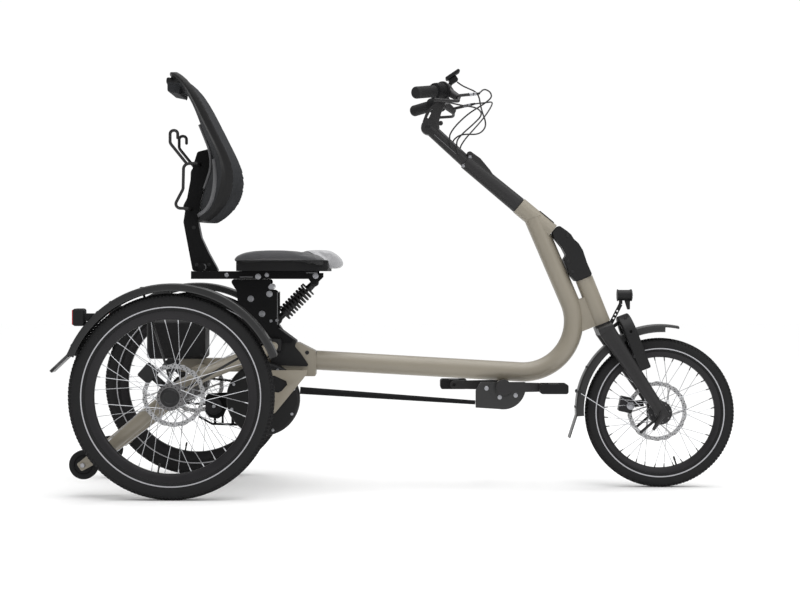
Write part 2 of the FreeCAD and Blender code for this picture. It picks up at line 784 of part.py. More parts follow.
def make_coil(start, up, length, radius, wire, turns):
    """Round coil spring: a four-sided wire led up a helix in short straight steps."""
    out = up.cross(Y_AXIS).normalize()
    count = turns * coil_steps
    rings = []
    for step in range(count + 1):
        angle = 360 * step / coil_steps
        radial = out * cos(angle) + Y_AXIS * sin(angle)
        centre = start + up * (wire + (length - wire * 2) * step / count) + radial * radius
        rings.append([centre + radial * wire, centre + up * wire, centre - radial * wire, centre - up * wire])
    faces = [Part.Face(Part.makePolygon(ring + [ring[0]])) for ring in (rings[0], rings[-1])]
    for low, high in zip(rings, rings[1:]):
        for index in range(len(low)):
            after = (index + 1) % len(low)
            faces.append(Part.Face(Part.makePolygon([low[index], low[after], high[after], low[index]])))
            faces.append(Part.Face(Part.makePolygon([low[index], high[after], high[index], low[index]])))
    return Part.makeSolid(Part.makeShell(faces))


def make_shock():
    """Damper between frame and rail, with its coil spring between two cups."""
    run = shock_top - shock_low
    length = run.Length
    up = Vector(run).normalize()
    spring_length = length * spring_share
    start = shock_low + up * (length - spring_length) / 2
    end = start + up * spring_length
    cup = spring_radius + wire_clearance
    body = fused([
        rod(shock_low, shock_top, damper_radius),
        disc(shock_low, damper_eye_radius, damper_eye_radius), disc(shock_top, damper_eye_radius, damper_eye_radius),
        disc(shock_low, shock_pin_radius, plate_half + plate_thickness / 2),
        rod(start - up * (spring_wire + seat_gap), start - up * seat_gap, cup),
        rod(end + up * seat_gap, end + up * (spring_wire + seat_gap), cup),
    ])
    return Part.makeCompound([body, make_coil(start, up, spring_length, spring_radius, spring_wire, spring_turns)])


plate_shares = ((0.296, 1.0), (0.649, 1.0), (0.592, 0.84), (0.655, 0.83), (0.677, 0.79), (0.677, 0.25), (0.85, 0.0),
                (0.62, 0.0), (0.5, 0.3), (0.37, 0.55), (0.356, 0.82))


def make_seat_plates(rear_frame):
    """Side plates that carry the rails above the frame."""
    foot = plate_foot_height
    head = rail_height - rail_radius - seat_gap
    back = rail_rear
    length = rail_length
    height = head - foot
    outline = [(back + length * x_share, foot + height * z_share) for x_share, z_share in plate_shares]
    plates = []
    for name, side in SIDES:
        near = side * plate_half
        plate = side_plate(outline, near - plate_thickness / 2, near + plate_thickness / 2, plate_corner)
        plates.append(plate.cut(disc(shock_low, shock_pin_radius + seat_gap, plate_half * 2)).cut(rear_frame))
    return Part.makeCompound(plates)


# Backrest: spine post, shell and hooks
back_width = 400.0
back_thickness = 26.0
back_low_above_seat = 164.0
back_height = 490.0
back_front_from_hub = 183.0
back_reach = 219.0
back_wing = 125.0
back_height_shares = (0.0, 0.059, 0.139, 0.259, 0.416, 0.598, 0.747, 0.882, 1.0)
back_reach_shares = (0.384, 0.208, 0.075, 0.0, 0.061, 0.256, 0.427, 0.6, 0.88)
back_wing_shares = (0.25, 0.5, 0.7, 0.7, 0.42, 0.3, 0.22, 0.2, 0.1)
back_width_shares = (0.62, 0.75, 0.86, 0.95, 1.0, 1.0, 0.97, 0.88, 0.66)
handle_half_share = 0.27
handle_corner = 8.0
handle_shares = ((-0.064, 0.985), (0.15, 0.93), (0.15, 0.85), (-0.064, 0.87))
hook_radius = 5.0
hook_rod_shares = ((0.3, 0.39), (-0.06, 0.085))
post_half = 24.0
post_width = 84.0
post_corner = 10.0
post_bar_share = 0.4
post_low_shares = ((0.0, 0.0), (1.0, 0.0), (0.98, 0.05), (0.63, 0.377), (0.345, 0.685))
post_high_shares = ((0.214, 0.002), (0.32, 0.161), (0.74, 0.39), (0.76, 0.505), (0.19, 0.48), (0.024, 0.39),
                    (-0.226, 0.161), (-0.369, 0.0))

back_low_height = seat_base_height + back_low_above_seat
post_foot = rail_height + rail_radius + seat_gap


def back_section(height, edge_x, depth, width):
    """Curved section across the backrest at one height."""
    half = width / 2
    front = [Vector(edge_x, half, height), Vector(edge_x - depth, 0, height), Vector(edge_x, -half, height)]
    back = [Vector(edge_x - back_thickness, half, height), Vector(edge_x - depth - back_thickness, 0, height),
            Vector(edge_x - back_thickness, -half, height)]
    edges = [Part.Arc(*front), Part.LineSegment(front[2], back[2]), Part.Arc(*reversed(back)),
             Part.LineSegment(back[0], front[0])]
    return Part.Wire([edge.toShape() for edge in edges])


def make_backrest():
    """Shell that wraps around the rider's back, as a loft through curved sections, with a lip at its top."""
    front = rear_hub_x + back_front_from_hub
    sections = []
    for height_share, reach_share, wing_share, width_share in zip(
            back_height_shares, back_reach_shares, back_wing_shares, back_width_shares):
        sections.append(back_section(back_low_height + back_height * height_share, front - back_reach * reach_share,
                                     back_wing * wing_share, back_width * width_share))
    top_x = front - back_reach
    outline = [(top_x + back_reach * x_share, back_low_height + back_height * z_share) for x_share, z_share in handle_shares]
    lip = side_plate(outline, -back_width * handle_half_share, back_width * handle_half_share, handle_corner)
    return fused([Part.makeLoft(sections, True), lip])


def post_place(x_share, z_share):
    """A place on the post's side view: heights under the backrest's lower edge and above it keep their own shares."""
    return side_point(rail_rear + post_width * x_share, back_low_height + back_height * z_share)


def make_backrest_post(shell):
    """Spine post from the rails up to the back of the shell, which it follows."""
    outline = [(rail_rear + post_width * x_share, post_foot + (back_low_height - post_foot) * z_share)
               for x_share, z_share in post_low_shares]
    outline += [(place.x, place.z) for place in (post_place(x_share, z_share) for x_share, z_share in post_high_shares)]
    post = side_plate(outline, -post_half, post_half, post_corner)
    bar = disc(side_point(rail_rear + post_width * post_bar_share, post_foot + rail_radius), rail_radius, rail_half)
    for x_share, z_share in hook_rod_shares:
        post = post.cut(disc(post_place(x_share, z_share), hook_radius + seat_gap, post_half + cut_over))
    return fused([post, bar]).cut(shell)


# Stick holder behind the backrest: two bent loops on rods through the post
hook_half = 118.0
hook_bend = 18.0
hook_loop_shares = ((0.3, 0.39), (-0.22, 0.385), (-0.24, 0.216), (-0.63, 0.089), (-0.06, 0.085))
hook_crook_shares = ((-0.1, 0.387), (-0.75, 0.525), (-0.75, 0.61), (-0.45, 0.61), (-0.45, 0.56))


def make_hooks():
    """Loops and crooks on both sides, joined by two cross rods."""
    pieces = []
    for x_share, z_share in hook_rod_shares:
        pieces.append(disc(post_place(x_share, z_share), hook_radius, hook_half))
    for name, side in SIDES:
        for shares in (hook_loop_shares, hook_crook_shares):
            points = [post_place(x_share, z_share) + Y_AXIS * side * hook_half for x_share, z_share in shares]
            pieces.append(bent_tube(points, hook_radius, hook_bend))
            pieces.append(Part.makeSphere(hook_radius, points[0]))
            pieces.append(Part.makeSphere(hook_radius, points[-1]))
    return fused(pieces)


# Fenders, struts and tail lamps
fender_wall = 3.0
rear_fender_radius = 355.0
rear_fender_ahead = 4.0
rear_fender_lift = 3.0
rear_fender_width = 64.0
rear_fender_skirt = 22.0
rear_fender_start_angle = 20.8
rear_fender_end_angle = 158.4
front_fender_radius = 288.0
front_fender_ahead = 6.0
front_fender_lift = 8.0
front_fender_width = 62.0
front_fender_skirt = 24.0
front_fender_tip_angle = 78.3
front_fender_start_angle = 87.8
front_fender_end_angle = 184.0
flap_thickness = 3.0
rear_flap_thickness = 9.0
rear_flap_flare_angle = 65.0
front_flap_length = 76.0
front_flap_flare_angle = 68.0
front_tongue_skirt = 10.0
strut_radius = 4.0
strut_knee_gap = 24.0
strut_bend = 60.0
fender_strut_angles = (30.0, 106.0)
stay_clamp_width = 7.5
stay_clamp_radius = 36.0
lamp_height = 55.0
lamp_depth = 36.0
lamp_width = 58.0
lamp_corner = 8.0
lamp_behind_hub = 308.0
lamp_above_hub = 251.0
lamp_arm_height = 24.0
lamp_arm_width = 34.0


def make_fender(centre, radius, width, skirt, start, end):
    """Channel-section fender over part of a wheel."""
    half, inner_half = width / 2, width / 2 - fender_wall
    profile = ((radius - skirt, -half), (radius, -half), (radius, half), (radius - skirt, half),
               (radius - skirt, inner_half), (radius - fender_wall, inner_half), (radius - fender_wall, -inner_half),
               (radius - skirt, -inner_half))
    points = [centre + Vector(reach, y, 0) for reach, y in profile]
    face = Part.Face(Part.makePolygon(points + [points[0]]))
    face.rotate(centre, Y_AXIS, -start)
    return face.revolve(centre, Y_AXIS, start - end)


def make_flap(centre, radius, width, angle, flare, length, thickness):
    """Rubber flap that hangs from the end of a fender."""
    root = centre + Vector(radius * cos(angle), -width / 2, radius * sin(angle))
    down = Vector(cos(angle + flare), 0, sin(angle + flare))
    inward = down.cross(Y_AXIS).normalize() * thickness
    corners = [root, root + down * length, root + down * length + inward, root + inward]
    return Part.Face(Part.makePolygon(corners + [corners[0]])).extrude(Y_AXIS * width)


def rear_arch_centre(side):
    """Centre of a rear fender's arc, a little ahead of and above the hub."""
    return rear_hub(side) + Vector(rear_fender_ahead, 0, rear_fender_lift)


def make_rear_fender(side):
    centre = rear_arch_centre(side)
    channel = make_fender(centre, rear_fender_radius, rear_fender_width, rear_fender_skirt, rear_fender_start_angle,
                          rear_fender_end_angle)
    root_x = centre.x + rear_fender_radius * cos(rear_fender_end_angle)
    length = (-overall_length / 2 - root_x) / cos(rear_fender_end_angle + rear_flap_flare_angle)
    flap = make_flap(centre, rear_fender_radius, rear_fender_width, rear_fender_end_angle, rear_flap_flare_angle, length,
                     rear_flap_thickness)
    return fused([channel, flap] + make_fender_struts(side))


def make_fender_struts(side):
    """Clamp on the wheel bearing with round stays that bend out to the fender's inner edge."""
    inner = bearing_outer - stay_clamp_width / 2
    ring = rod(bearing_end(side, bearing_outer - stay_clamp_width), bearing_end(side, bearing_outer), stay_clamp_radius)
    ring = ring.cut(rod(bearing_end(side, 0), bearing_end(side, track), bearing_radius + seat_gap))
    pieces = [ring]
    for angle in fender_strut_angles:
        out = Vector(cos(angle), 0, sin(angle))
        edge = track / 2 - rear_fender_width / 2 + fender_wall / 2
        points = [bearing_end(side, inner) + out * (bearing_radius + strut_radius),
                  bearing_end(side, inner) + out * (rotor_radius + strut_knee_gap),
                  bearing_end(side, edge) + out * (rear_fender_radius - rear_fender_skirt / 2)]
        pieces.append(bent_tube(points, strut_radius, strut_bend))
    return pieces


def make_tail_lamp(side):
    """Lamp held behind a rear fender by a short arm."""
    centre = rear_hub(side)
    back = centre + Vector(-lamp_behind_hub, 0, lamp_above_hub)
    box = Part.makeBox(lamp_depth, lamp_width, lamp_height, back - Vector(0, lamp_width / 2, lamp_height / 2))
    box = box.makeFillet(lamp_corner, box.Edges)
    arm = Part.makeBox(lamp_depth * 2, lamp_arm_width, lamp_arm_height,
                       back + Vector(lamp_depth - lamp_corner, -lamp_arm_width / 2, -lamp_arm_height / 2))
    return fused([box, arm]).cut(disc(centre, rear_fender_radius + seat_gap, rear_fender_width))


# Brake calipers
caliper_length = 52.0
caliper_height = 34.0
caliper_wall = 7.0
caliper_slot = 12.0
caliper_outer = 14.0
caliper_corner = 5.0
caliper_arm = 6.0
caliper_arm_half_share = 0.33
front_caliper_angle = 168.0
front_arm_share = 0.4
front_arm_back_share = 0.3
rear_caliper_angle = 139.0


def make_caliper(centre, rotor_y, outward, angle, arm_end):
    """Caliper that straddles the edge of a brake disc, on a flat arm from its carrier."""
    slot = caliper_slot / 2
    if outward > 0:
        low, high = rotor_y - slot - caliper_wall, rotor_y + slot + caliper_outer
        arm_low, arm_high = high - caliper_arm, high
    else:
        low, high = rotor_y - slot - caliper_outer, rotor_y + slot + caliper_wall
        arm_low, arm_high = low, low + caliper_arm
    reach = rotor_radius - caliper_height / 2
    block = Part.makeBox(caliper_height + running_gap + caliper_wall, high - low, caliper_length,
                         Vector(reach, low, -caliper_length / 2))
    block = block.makeFillet(caliper_corner, [edge for edge in block.Edges if abs(edge.tangentAt(0).y) > 1 / 2])
    block = block.cut(disc(Vector(0, rotor_y, 0), rotor_radius + running_gap, slot))
    block.rotate(ORIGIN, Y_AXIS, -angle)
    block.translate(Vector(centre.x, 0, centre.z))
    start = Vector(centre.x + rotor_radius * cos(angle), 0, centre.z + rotor_radius * sin(angle))
    across = (arm_end - start).cross(Y_AXIS).normalize() * (caliper_height * caliper_arm_half_share)
    outline = [(place.x, place.z) for place in (start + across, arm_end + across, arm_end - across, start - across)]
    return fused([block, side_plate(outline, arm_low, arm_high)])


def make_front_caliper(fork):
    arm_end = front_hub + head_up * (rotor_radius * front_arm_share) - head_ahead * (rotor_radius * front_arm_back_share)
    return make_caliper(front_hub, front_rotor_inset, 1, front_caliper_angle, arm_end).cut(fork)


def make_rear_caliper(side):
    hub = Vector(rear_hub_x, 0, rear_tyre_radius)
    caliper = make_caliper(hub, side * (track / 2 - rear_rotor_inset), -side, rear_caliper_angle, hub)
    return caliper.cut(rod(bearing_end(side, 0), bearing_end(side, bearing_outer), bearing_radius + seat_gap)).cut(
        rod(bearing_end(side, bearing_outer - stay_clamp_width - seat_gap), bearing_end(side, track / 2),
            stay_clamp_radius + seat_gap))


# Fork with its crown, steerer and axle
fork_half = 66.0
fork_leg_depth = 36.0
fork_leg_top_depth = 56.0
fork_leg_width = 24.0
steerer_above = 30.0
lever_angle = 58.0
crown_height = 26.0
crown_depth = 52.0
crown_corner = 8.0
crown_gap = 1.0
dropout_reach = 16.0
quick_lever_length = 62.0
quick_lever_radius = 5.0
nut_radius = 11.0
nut_length = 12.0


def leg_section(centre, along, depth, width):
    """Oval section of a fork leg, square to its run."""
    across = along.cross(Y_AXIS).normalize()
    half_depth, half_width = depth / 2, width / 2
    flat = (depth - width) / 2
    a, b = centre + across * flat, centre - across * flat
    edges = [
        Part.LineSegment(b + Y_AXIS * half_width, a + Y_AXIS * half_width),
        Part.Arc(a + Y_AXIS * half_width, centre + across * half_depth, a - Y_AXIS * half_width),
        Part.LineSegment(a - Y_AXIS * half_width, b - Y_AXIS * half_width),
        Part.Arc(b - Y_AXIS * half_width, centre - across * half_depth, b + Y_AXIS * half_width),
    ]
    return Part.Wire([edge.toShape() for edge in edges])


def make_fork():
    crown_centre = head_bottom - head_up * (crown_gap + head_bearing_height + crown_height / 2)
    crown = Part.makeBox(crown_depth, fork_half * 2 + fork_leg_width, crown_height,
                         Vector(-crown_depth / 2, -fork_half - fork_leg_width / 2, -crown_height / 2))
    crown = crown.makeFillet(crown_corner, [edge for edge in crown.Edges if abs(edge.tangentAt(0).y) < 1 / 2])
    crown.rotate(ORIGIN, Y_AXIS, head_angle - 90)
    crown.translate(crown_centre)
    steerer = rod(crown_centre, head_top + head_up * steerer_above, steerer_radius)
    collar = rod(crown_centre, head_bottom - head_up * crown_gap, head_bearing_radius)
    pieces = [crown, steerer, collar]
    top = crown_centre - head_up * (crown_height / 4)
    run = (front_hub - top).normalize()
    for name, side in SIDES:
        out = Y_AXIS * side * fork_half
        leg = Part.makeLoft([leg_section(top + out, run, fork_leg_top_depth, fork_leg_width),
                             leg_section(front_hub + run * dropout_reach + out, run, fork_leg_depth, fork_leg_width)],
                            True)
        pieces.append(leg)
    outer = fork_half + fork_leg_width / 2
    pieces.append(disc(front_hub, axle_radius, outer + nut_length))
    pieces.append(rod(front_hub + Y_AXIS * outer, front_hub + Y_AXIS * (outer + nut_length), nut_radius))
    pieces.append(rod(front_hub - Y_AXIS * outer, front_hub - Y_AXIS * (outer + nut_length), nut_radius))
    lever_root = front_hub - Y_AXIS * (outer + nut_length - quick_lever_radius)
    lever_run = Vector(-cos(lever_angle), 0, -sin(lever_angle))
    pieces.append(rod(lever_root, lever_root + lever_run * quick_lever_length, quick_lever_radius * 2,
                      quick_lever_radius))
    return fused(pieces)


def make_front_fender():
    """Front fender with its flap and the bracket up to the crown."""
    centre = front_hub + Vector(front_fender_ahead, 0, front_fender_lift)
    channel = make_fender(centre, front_fender_radius, front_fender_width, front_fender_skirt, front_fender_start_angle,
                          front_fender_end_angle)
    flap = make_flap(centre, front_fender_radius, front_fender_width, front_fender_end_angle, front_flap_flare_angle,
                     front_flap_length, flap_thickness)
    tongue = make_fender(centre, front_fender_radius, front_fender_width, front_tongue_skirt, front_fender_tip_angle,
                         front_fender_start_angle)
    crown_bottom = head_bottom - head_up * (crown_gap + head_bearing_height + crown_height + seat_gap)
    foot_reach = math.sqrt((front_fender_radius - fender_wall / 2) ** 2 - fork_offset ** 2)
    foot = head_foot + head_up * foot_reach
    bracket = rod(foot, crown_bottom, head_bearing_height * 2)
    return fused([channel, tongue, flap, bracket])


# Ring lock over the front wheel
lock_height = 192.0
lock_depth = 42.0
lock_half = 74.0
lock_arm = 28.0
lock_reach = 254.0
lock_angle = 111.0
lock_corner = 12.0
lock_stem_radius = 6.0
lock_socket_radius = 5.0
lock_socket_depth = 14.0
lock_socket_share = 0.2


def make_ring_lock(fork):
    """Horseshoe of the lock, open toward the hub, with its post to the crown."""
    outer_half, inner_half = lock_half, lock_half - lock_arm
    low, high = lock_reach - lock_height / 2, lock_reach + lock_height / 2
    outer_arc = [Vector(high - outer_half, outer_half, 0), Vector(high, 0, 0), Vector(high - outer_half, -outer_half, 0)]
    inner_top = high - lock_arm
    inner_arc = [Vector(inner_top - inner_half, -inner_half, 0), Vector(inner_top, 0, 0),
                 Vector(inner_top - inner_half, inner_half, 0)]
    corners = [Vector(low, outer_half, 0), Vector(low, inner_half, 0), Vector(low, -outer_half, 0),
               Vector(low, -inner_half, 0)]
    edges = [
        Part.Arc(*outer_arc), Part.LineSegment(outer_arc[2], corners[2]), Part.LineSegment(corners[2], corners[3]),
        Part.LineSegment(corners[3], inner_arc[0]), Part.Arc(*inner_arc), Part.LineSegment(inner_arc[2], corners[1]),
        Part.LineSegment(corners[1], corners[0]), Part.LineSegment(corners[0], outer_arc[0]),
    ]
    wire = Part.Wire([edge.toShape() for edge in edges])
    wire.translate(-Z_AXIS * lock_depth / 2)
    horseshoe = Part.Face(wire).extrude(Z_AXIS * lock_depth)
    horseshoe = horseshoe.makeFillet(lock_corner / 2, [edge for edge in horseshoe.Edges
                                                       if abs(edge.CenterOfMass.z) > lock_depth / 3])
    mouth = Vector(lock_reach + lock_height * lock_socket_share, -lock_half - cut_over, 0)
    horseshoe = horseshoe.cut(rod(mouth, mouth + Y_AXIS * (lock_socket_depth + cut_over), lock_socket_radius))
    horseshoe.rotate(ORIGIN, Y_AXIS, -lock_angle)
    horseshoe.translate(front_hub)
    crown_centre = head_bottom - head_up * (crown_gap + head_bearing_height + crown_height / 2)
    start = crown_centre + head_ahead * (crown_depth / 2) - head_up * crown_height / 4
    reach = lock_reach + lock_height / 2 - lock_arm / 2
    end = front_hub + Vector(reach * cos(lock_angle), 0, reach * sin(lock_angle))
    return fused([horseshoe, rod(start, end, lock_stem_radius)]).cut(fork)


# Headlamp on its bracket
headlamp_length = 49.0
headlamp_radius = 18.0
headlamp_rim_radius = 20.0
headlamp_rim = 6.0
headlamp_ahead_of_head = 160.5
headlamp_height = 643.0
headlamp_fin_length = 15.0
headlamp_fin_drop = 48.0
headlamp_fin_half = 4.0
headlamp_strap_width = 13.0
headlamp_strap_half = 3.0
headlamp_strap_hole = 3.0
headlamp_strap_hole_shares = (0.3, 0.48, 0.66)
headlamp_knee_behind = 37.0
headlamp_knee_drop = 30.0


def make_headlamp(fork):
    """Drum-shaped lamp with a front rim and a fin, on a drilled strap up from the crown."""
    front = side_point(head_top.x + headlamp_ahead_of_head, headlamp_height)
    back = front - X_AXIS * headlamp_length
    body = rod(back, front, headlamp_radius)
    rims = [rod(back, back + X_AXIS * headlamp_rim / 2, headlamp_rim_radius),
            rod(front - X_AXIS * headlamp_rim, front, headlamp_rim_radius)]
    fin = side_plate([(front.x - headlamp_rim, front.z), (front.x - headlamp_rim, front.z - headlamp_fin_drop),
                      (front.x - headlamp_fin_length, front.z - headlamp_fin_drop),
                      (front.x - headlamp_fin_length * 2, front.z)], -headlamp_fin_half, headlamp_fin_half, headlamp_rim / 2)
    crown_centre = head_bottom - head_up * (crown_gap + head_bearing_height + crown_height / 2)
    start = crown_centre + head_ahead * (crown_depth / 2) + head_up * crown_height / 4
    knee = front - Vector(headlamp_knee_behind, 0, headlamp_knee_drop)
    along = knee - start
    across = Vector(along).cross(Y_AXIS).normalize() * headlamp_strap_width / 2
    outline = [(place.x, place.z) for place in (start + across, knee + across, knee - across, start - across)]
    strap = side_plate(outline, -headlamp_strap_half, headlamp_strap_half)
    for share in headlamp_strap_hole_shares:
        strap = strap.cut(disc(start + along * share, headlamp_strap_hole, headlamp_strap_half * 2))
    head = disc(knee, headlamp_strap_width / 2, headlamp_strap_half * 2)
    neck = rod(knee, side_point(knee.x, front.z), headlamp_strap_half * 2)
    return fused([body, fin, strap, head, neck] + rims).cut(fork)


# Riser, stem, handlebar and what it carries
riser_shaft_length = 120.0
riser_bulge_half = 15.0
riser_bulge_corner = 6.0
riser_bulge_shares = ((0.5, 0.4), (0.5, 0.68), (0.66, 1.07), (0.87, 1.4), (1.05, 1.3), (1.085, 0.9), (0.98, 0.4))


def make_riser():
    """Sleeve that turns with the bar, on a shaft down into the steering tube."""
    foot = riser_foot + riser_up * riser_gap
    top = foot + riser_up * riser_length
    sleeve = rod(foot, top, riser_low_radius, riser_top_radius)
    shaft = rod(foot - riser_up * riser_shaft_length, foot, riser_shaft_radius)
    ahead = Y_AXIS.cross(riser_up)
    outline = [riser_foot + riser_up * (riser_length * up_share) + ahead * (riser_low_radius * ahead_share)
               for up_share, ahead_share in riser_bulge_shares]
    bulge = side_plate([(place.x, place.z) for place in outline], -riser_bulge_half, riser_bulge_half, riser_bulge_corner)
    return fused([sleeve, shaft, bulge])


riser_top = riser_foot + riser_up * (riser_gap + riser_length)
stem_pivot = riser_top + Vector(-stem_back, 0, stem_rise)
bar_centre = Vector(stem_pivot.x + bar_ahead_of_stem, 0, bar_height)


knuckle_share = 1.22
knuckle_half_share = 0.9
clamp_share = 1.7
stem_upright_half = 15.0
stem_upright_corner = 6.0
stem_upright_shares = ((-0.42, 0.18), (-0.22, 0.46), (0.08, 0.68), (0.5, 0.86), (1.0, 0.98), (1.1, 0.76), (0.9, 0.58),
                       (0.76, 0.34), (0.7, 0.18), (0.74, -0.1), (0.0, -0.1))
stem_slot_shares = ((0.16, 0.62), (0.3, 0.64), (-0.02, 0.3), (-0.12, 0.33))
stem_knob_share = 0.15
stem_knob_radius = 7.5
stem_knob_half = 8.0


def stem_outline(shares):
    """Side outline from shares of the way ahead and up from the stem's pivot to the bar."""
    reach = bar_centre - stem_pivot
    return [(stem_pivot.x + reach.x * x_share, stem_pivot.z + reach.z * z_share) for x_share, z_share in shares]


def make_stem(riser):
    """Arm from the top of the riser back to its pivot, with a slotted upright to the bar clamp."""
    start = riser_top + riser_up * seat_gap
    arm = rod(start, stem_pivot, stem_radius)
    up = side_plate(stem_outline(stem_upright_shares), -stem_upright_half, stem_upright_half, stem_upright_corner)
    up = up.cut(side_plate(stem_outline(stem_slot_shares), -stem_upright_half * 2, stem_upright_half * 2))
    reach = bar_centre - stem_pivot
    knob = disc(stem_pivot + Vector(reach.x * stem_upright_shares[-2][0] + stem_knob_radius / 2, 0, reach.z * stem_knob_share),
                stem_knob_radius, stem_knob_half)
    knuckle = disc(stem_pivot, stem_radius * knuckle_share, stem_radius * knuckle_half_share)
    clamp = disc(bar_centre, bar_radius * clamp_share, stem_radius)
    bore = disc(bar_centre, bar_radius + seat_gap, stem_radius * 2)
    return fused([arm, up, knob, knuckle, clamp]).cut(bore).cut(riser)


def bar_points():
    """Centre line of the bar from its right end to its left end."""
    right = [
        Vector(bar_centre.x - grip_end_back, -grip_end_half, bar_height - grip_end_drop),
        Vector(bar_centre.x + grip_start_ahead, -grip_start_half, bar_height + grip_end_drop),
        Vector(bar_centre.x, -bar_flat_half, bar_height),
    ]
    left = [Vector(place.x, -place.y, place.z) for place in reversed(right)]
    return right + left


def make_handlebar():
    return bent_tube(bar_points(), bar_radius, bar_bend_radius)


def bar_place(side, share):
    """A place on the straight grip end of the bar, from its inner (0) to its outer end (1)."""
    points = bar_points()
    outer, inner = (points[0], points[1]) if side < 0 else (points[-1], points[-2])
    return inner + (outer - inner) * share, (outer - inner).normalize()


grip_inner_share = 0.235
grip_collar_share = 0.5
grip_collar_radius = 26.5
grip_collar_step = 4.0
grip_flange_radius = 30.0
grip_flange_width = 8.0
lever_clamp_share = 0.165
lever_clamp_radius = 21.0
lever_clamp_width = 18.0
lever_body_reach = 60.0
lever_body_radius = 11.0
lever_root_radius = 16.0
lever_length = 112.0
lever_radius = 5.0
lever_lead = 24.0
lever_bend = 16.0
lever_drop_angle = 28.0
lever_tip_radius = 6.5
barrel_root_share = 0.75
barrel_ahead = 69.0
barrel_inward = 49.0
barrel_rise = 12.0
barrel_radius = 5.0


def make_grips():
    """Grip with a raised twist collar at its inner end, on each side."""
    grips = []
    for name, side in SIDES:
        inner, away = bar_place(side, grip_inner_share)
        collar_end, away = bar_place(side, grip_collar_share)
        outer, away = bar_place(side, 1.0)
        cap = outer + away * (grip_radius / 2)
        sleeve = fused([rod(inner, cap, grip_radius), rod(inner, collar_end, grip_collar_radius),
                        rod(inner, inner + away * grip_flange_width, grip_flange_radius),
                        rod(collar_end, collar_end + away * grip_collar_step, grip_collar_radius - grip_collar_step)])
        grips.append(sleeve.cut(rod(inner, outer + away * seat_gap, bar_radius + seat_gap)))
    return Part.makeCompound(grips)


def lever_frame(side):
    """Where a brake lever clamps the bar, and the directions out along the grip and ahead of it."""
    place, away = bar_place(side, lever_clamp_share)
    level = away.cross(Z_AXIS).normalize() * side
    return place, away, level * cos(lever_drop_angle) - Z_AXIS * sin(lever_drop_angle)


def barrel_ends(side):
    """Start and end of the cable barrel on a brake lever's body."""
    place, away, ahead = lever_frame(side)
    start = place + ahead * lever_body_reach * barrel_root_share
    return start, start + Vector(barrel_ahead, -side * barrel_inward, barrel_rise)


def make_levers():
    """Brake lever on each side: clamp, body, cable barrel and a blade that runs out ahead of the grip."""
    levers = []
    for name, side in SIDES:
        place, away, ahead = lever_frame(side)
        half = away * lever_clamp_width / 2
        clamp = rod(place - half, place + half, lever_clamp_radius)
        body = rod(place, place + ahead * lever_body_reach, lever_root_radius, lever_body_radius)
        knee = place + ahead * (lever_body_reach + lever_lead) + away * lever_lead
        tip = place + ahead * lever_body_reach + away * lever_length
        blade = bent_tube([place + ahead * lever_body_reach, knee, tip], lever_radius, lever_bend)
        start, end = barrel_ends(side)
        pieces = [clamp, body, blade, rod(start, end, barrel_radius), Part.makeSphere(lever_tip_radius, tip)]
        grip, away = bar_place(side, grip_inner_share)
        room = rod(grip - away * seat_gap, grip + away * lever_length, grip_flange_radius + seat_gap)
        levers.append(fused(pieces).cut(rod(place - half * 3, place + half * 3, bar_radius + seat_gap)).cut(room))
    return Part.makeCompound(levers)


display_width = 62.0
display_length = 54.0
display_thickness = 11.0
display_tilt_angle = 34.0
display_ahead = 31.0
display_lift = 80.0
display_corner = 5.0
display_post_radius = 7.0
display_box_length = 30.0
display_box_width = 40.0
display_box_height = 20.0
display_box_back = 8.0

display_centre = bar_centre + Vector(display_ahead, 0, display_lift)
display_along = Vector(cos(display_tilt_angle), 0, sin(display_tilt_angle))
display_face = Vector(-sin(display_tilt_angle), 0, cos(display_tilt_angle))
display_box_centre = (display_centre - display_face * ((display_thickness + display_box_height) / 2 - seat_gap)
                      - display_along * display_box_back)


def tilted_box(centre, length, width, height):
    """Block with rounded edges that leans with the display."""
    block = Part.makeBox(length, width, height, Vector(-length / 2, -width / 2, -height / 2))
    block = block.makeFillet(display_corner, block.Edges)
    block.rotate(ORIGIN, Y_AXIS, -display_tilt_angle)
    block.translate(centre)
    return block


def make_display():
    """Flat display with its mount box, on a post from the bar clamp."""
    foot = bar_centre + Z_AXIS * (bar_radius * clamp_share + seat_gap)
    screen = tilted_box(display_centre, display_length, display_width, display_thickness)
    mount = tilted_box(display_box_centre, display_box_length, display_box_width, display_box_height)
    clamp = disc(bar_centre, bar_radius * clamp_share + seat_gap, stem_radius * 3)
    return fused([screen, mount, rod(foot, display_box_centre, display_post_radius)]).cut(clamp)


cable_radius = 2.6
cable_bend_share = 0.45
barrel_exit = 14.0
brake_cable_routes = (
    ((128.0, -145.0, 18.0), (149.0, -122.0, 12.0), (157.0, -100.0, 0.0), (153.0, -84.0, -9.0), (130.0, -66.0, -26.0),
     (88.0, -50.0, -50.0), (56.0, -40.0, -77.0), (31.0, -32.0, -104.0), (15.0, -27.0, -133.0), (27.0, -24.3, -168.0)),
    ((152.0, 146.0, 2.0), (172.0, 124.0, 3.0), (167.0, 98.0, -15.0), (143.0, 75.0, -53.0), (102.0, 50.0, -101.0),
     (74.0, 36.0, -132.0), (52.0, 27.0, -168.0), (57.0, 24.3, -198.0)),
)
gear_cable_route = (
    (49.0, -190.0, -41.0), (89.0, -160.0, -42.0), (114.0, -125.0, -47.0), (126.0, -100.0, -64.0), (97.0, -70.0, -92.0),
    (58.0, -42.0, -124.0), (38.0, -29.0, -152.0), (50.0, -24.3, -188.0),
)
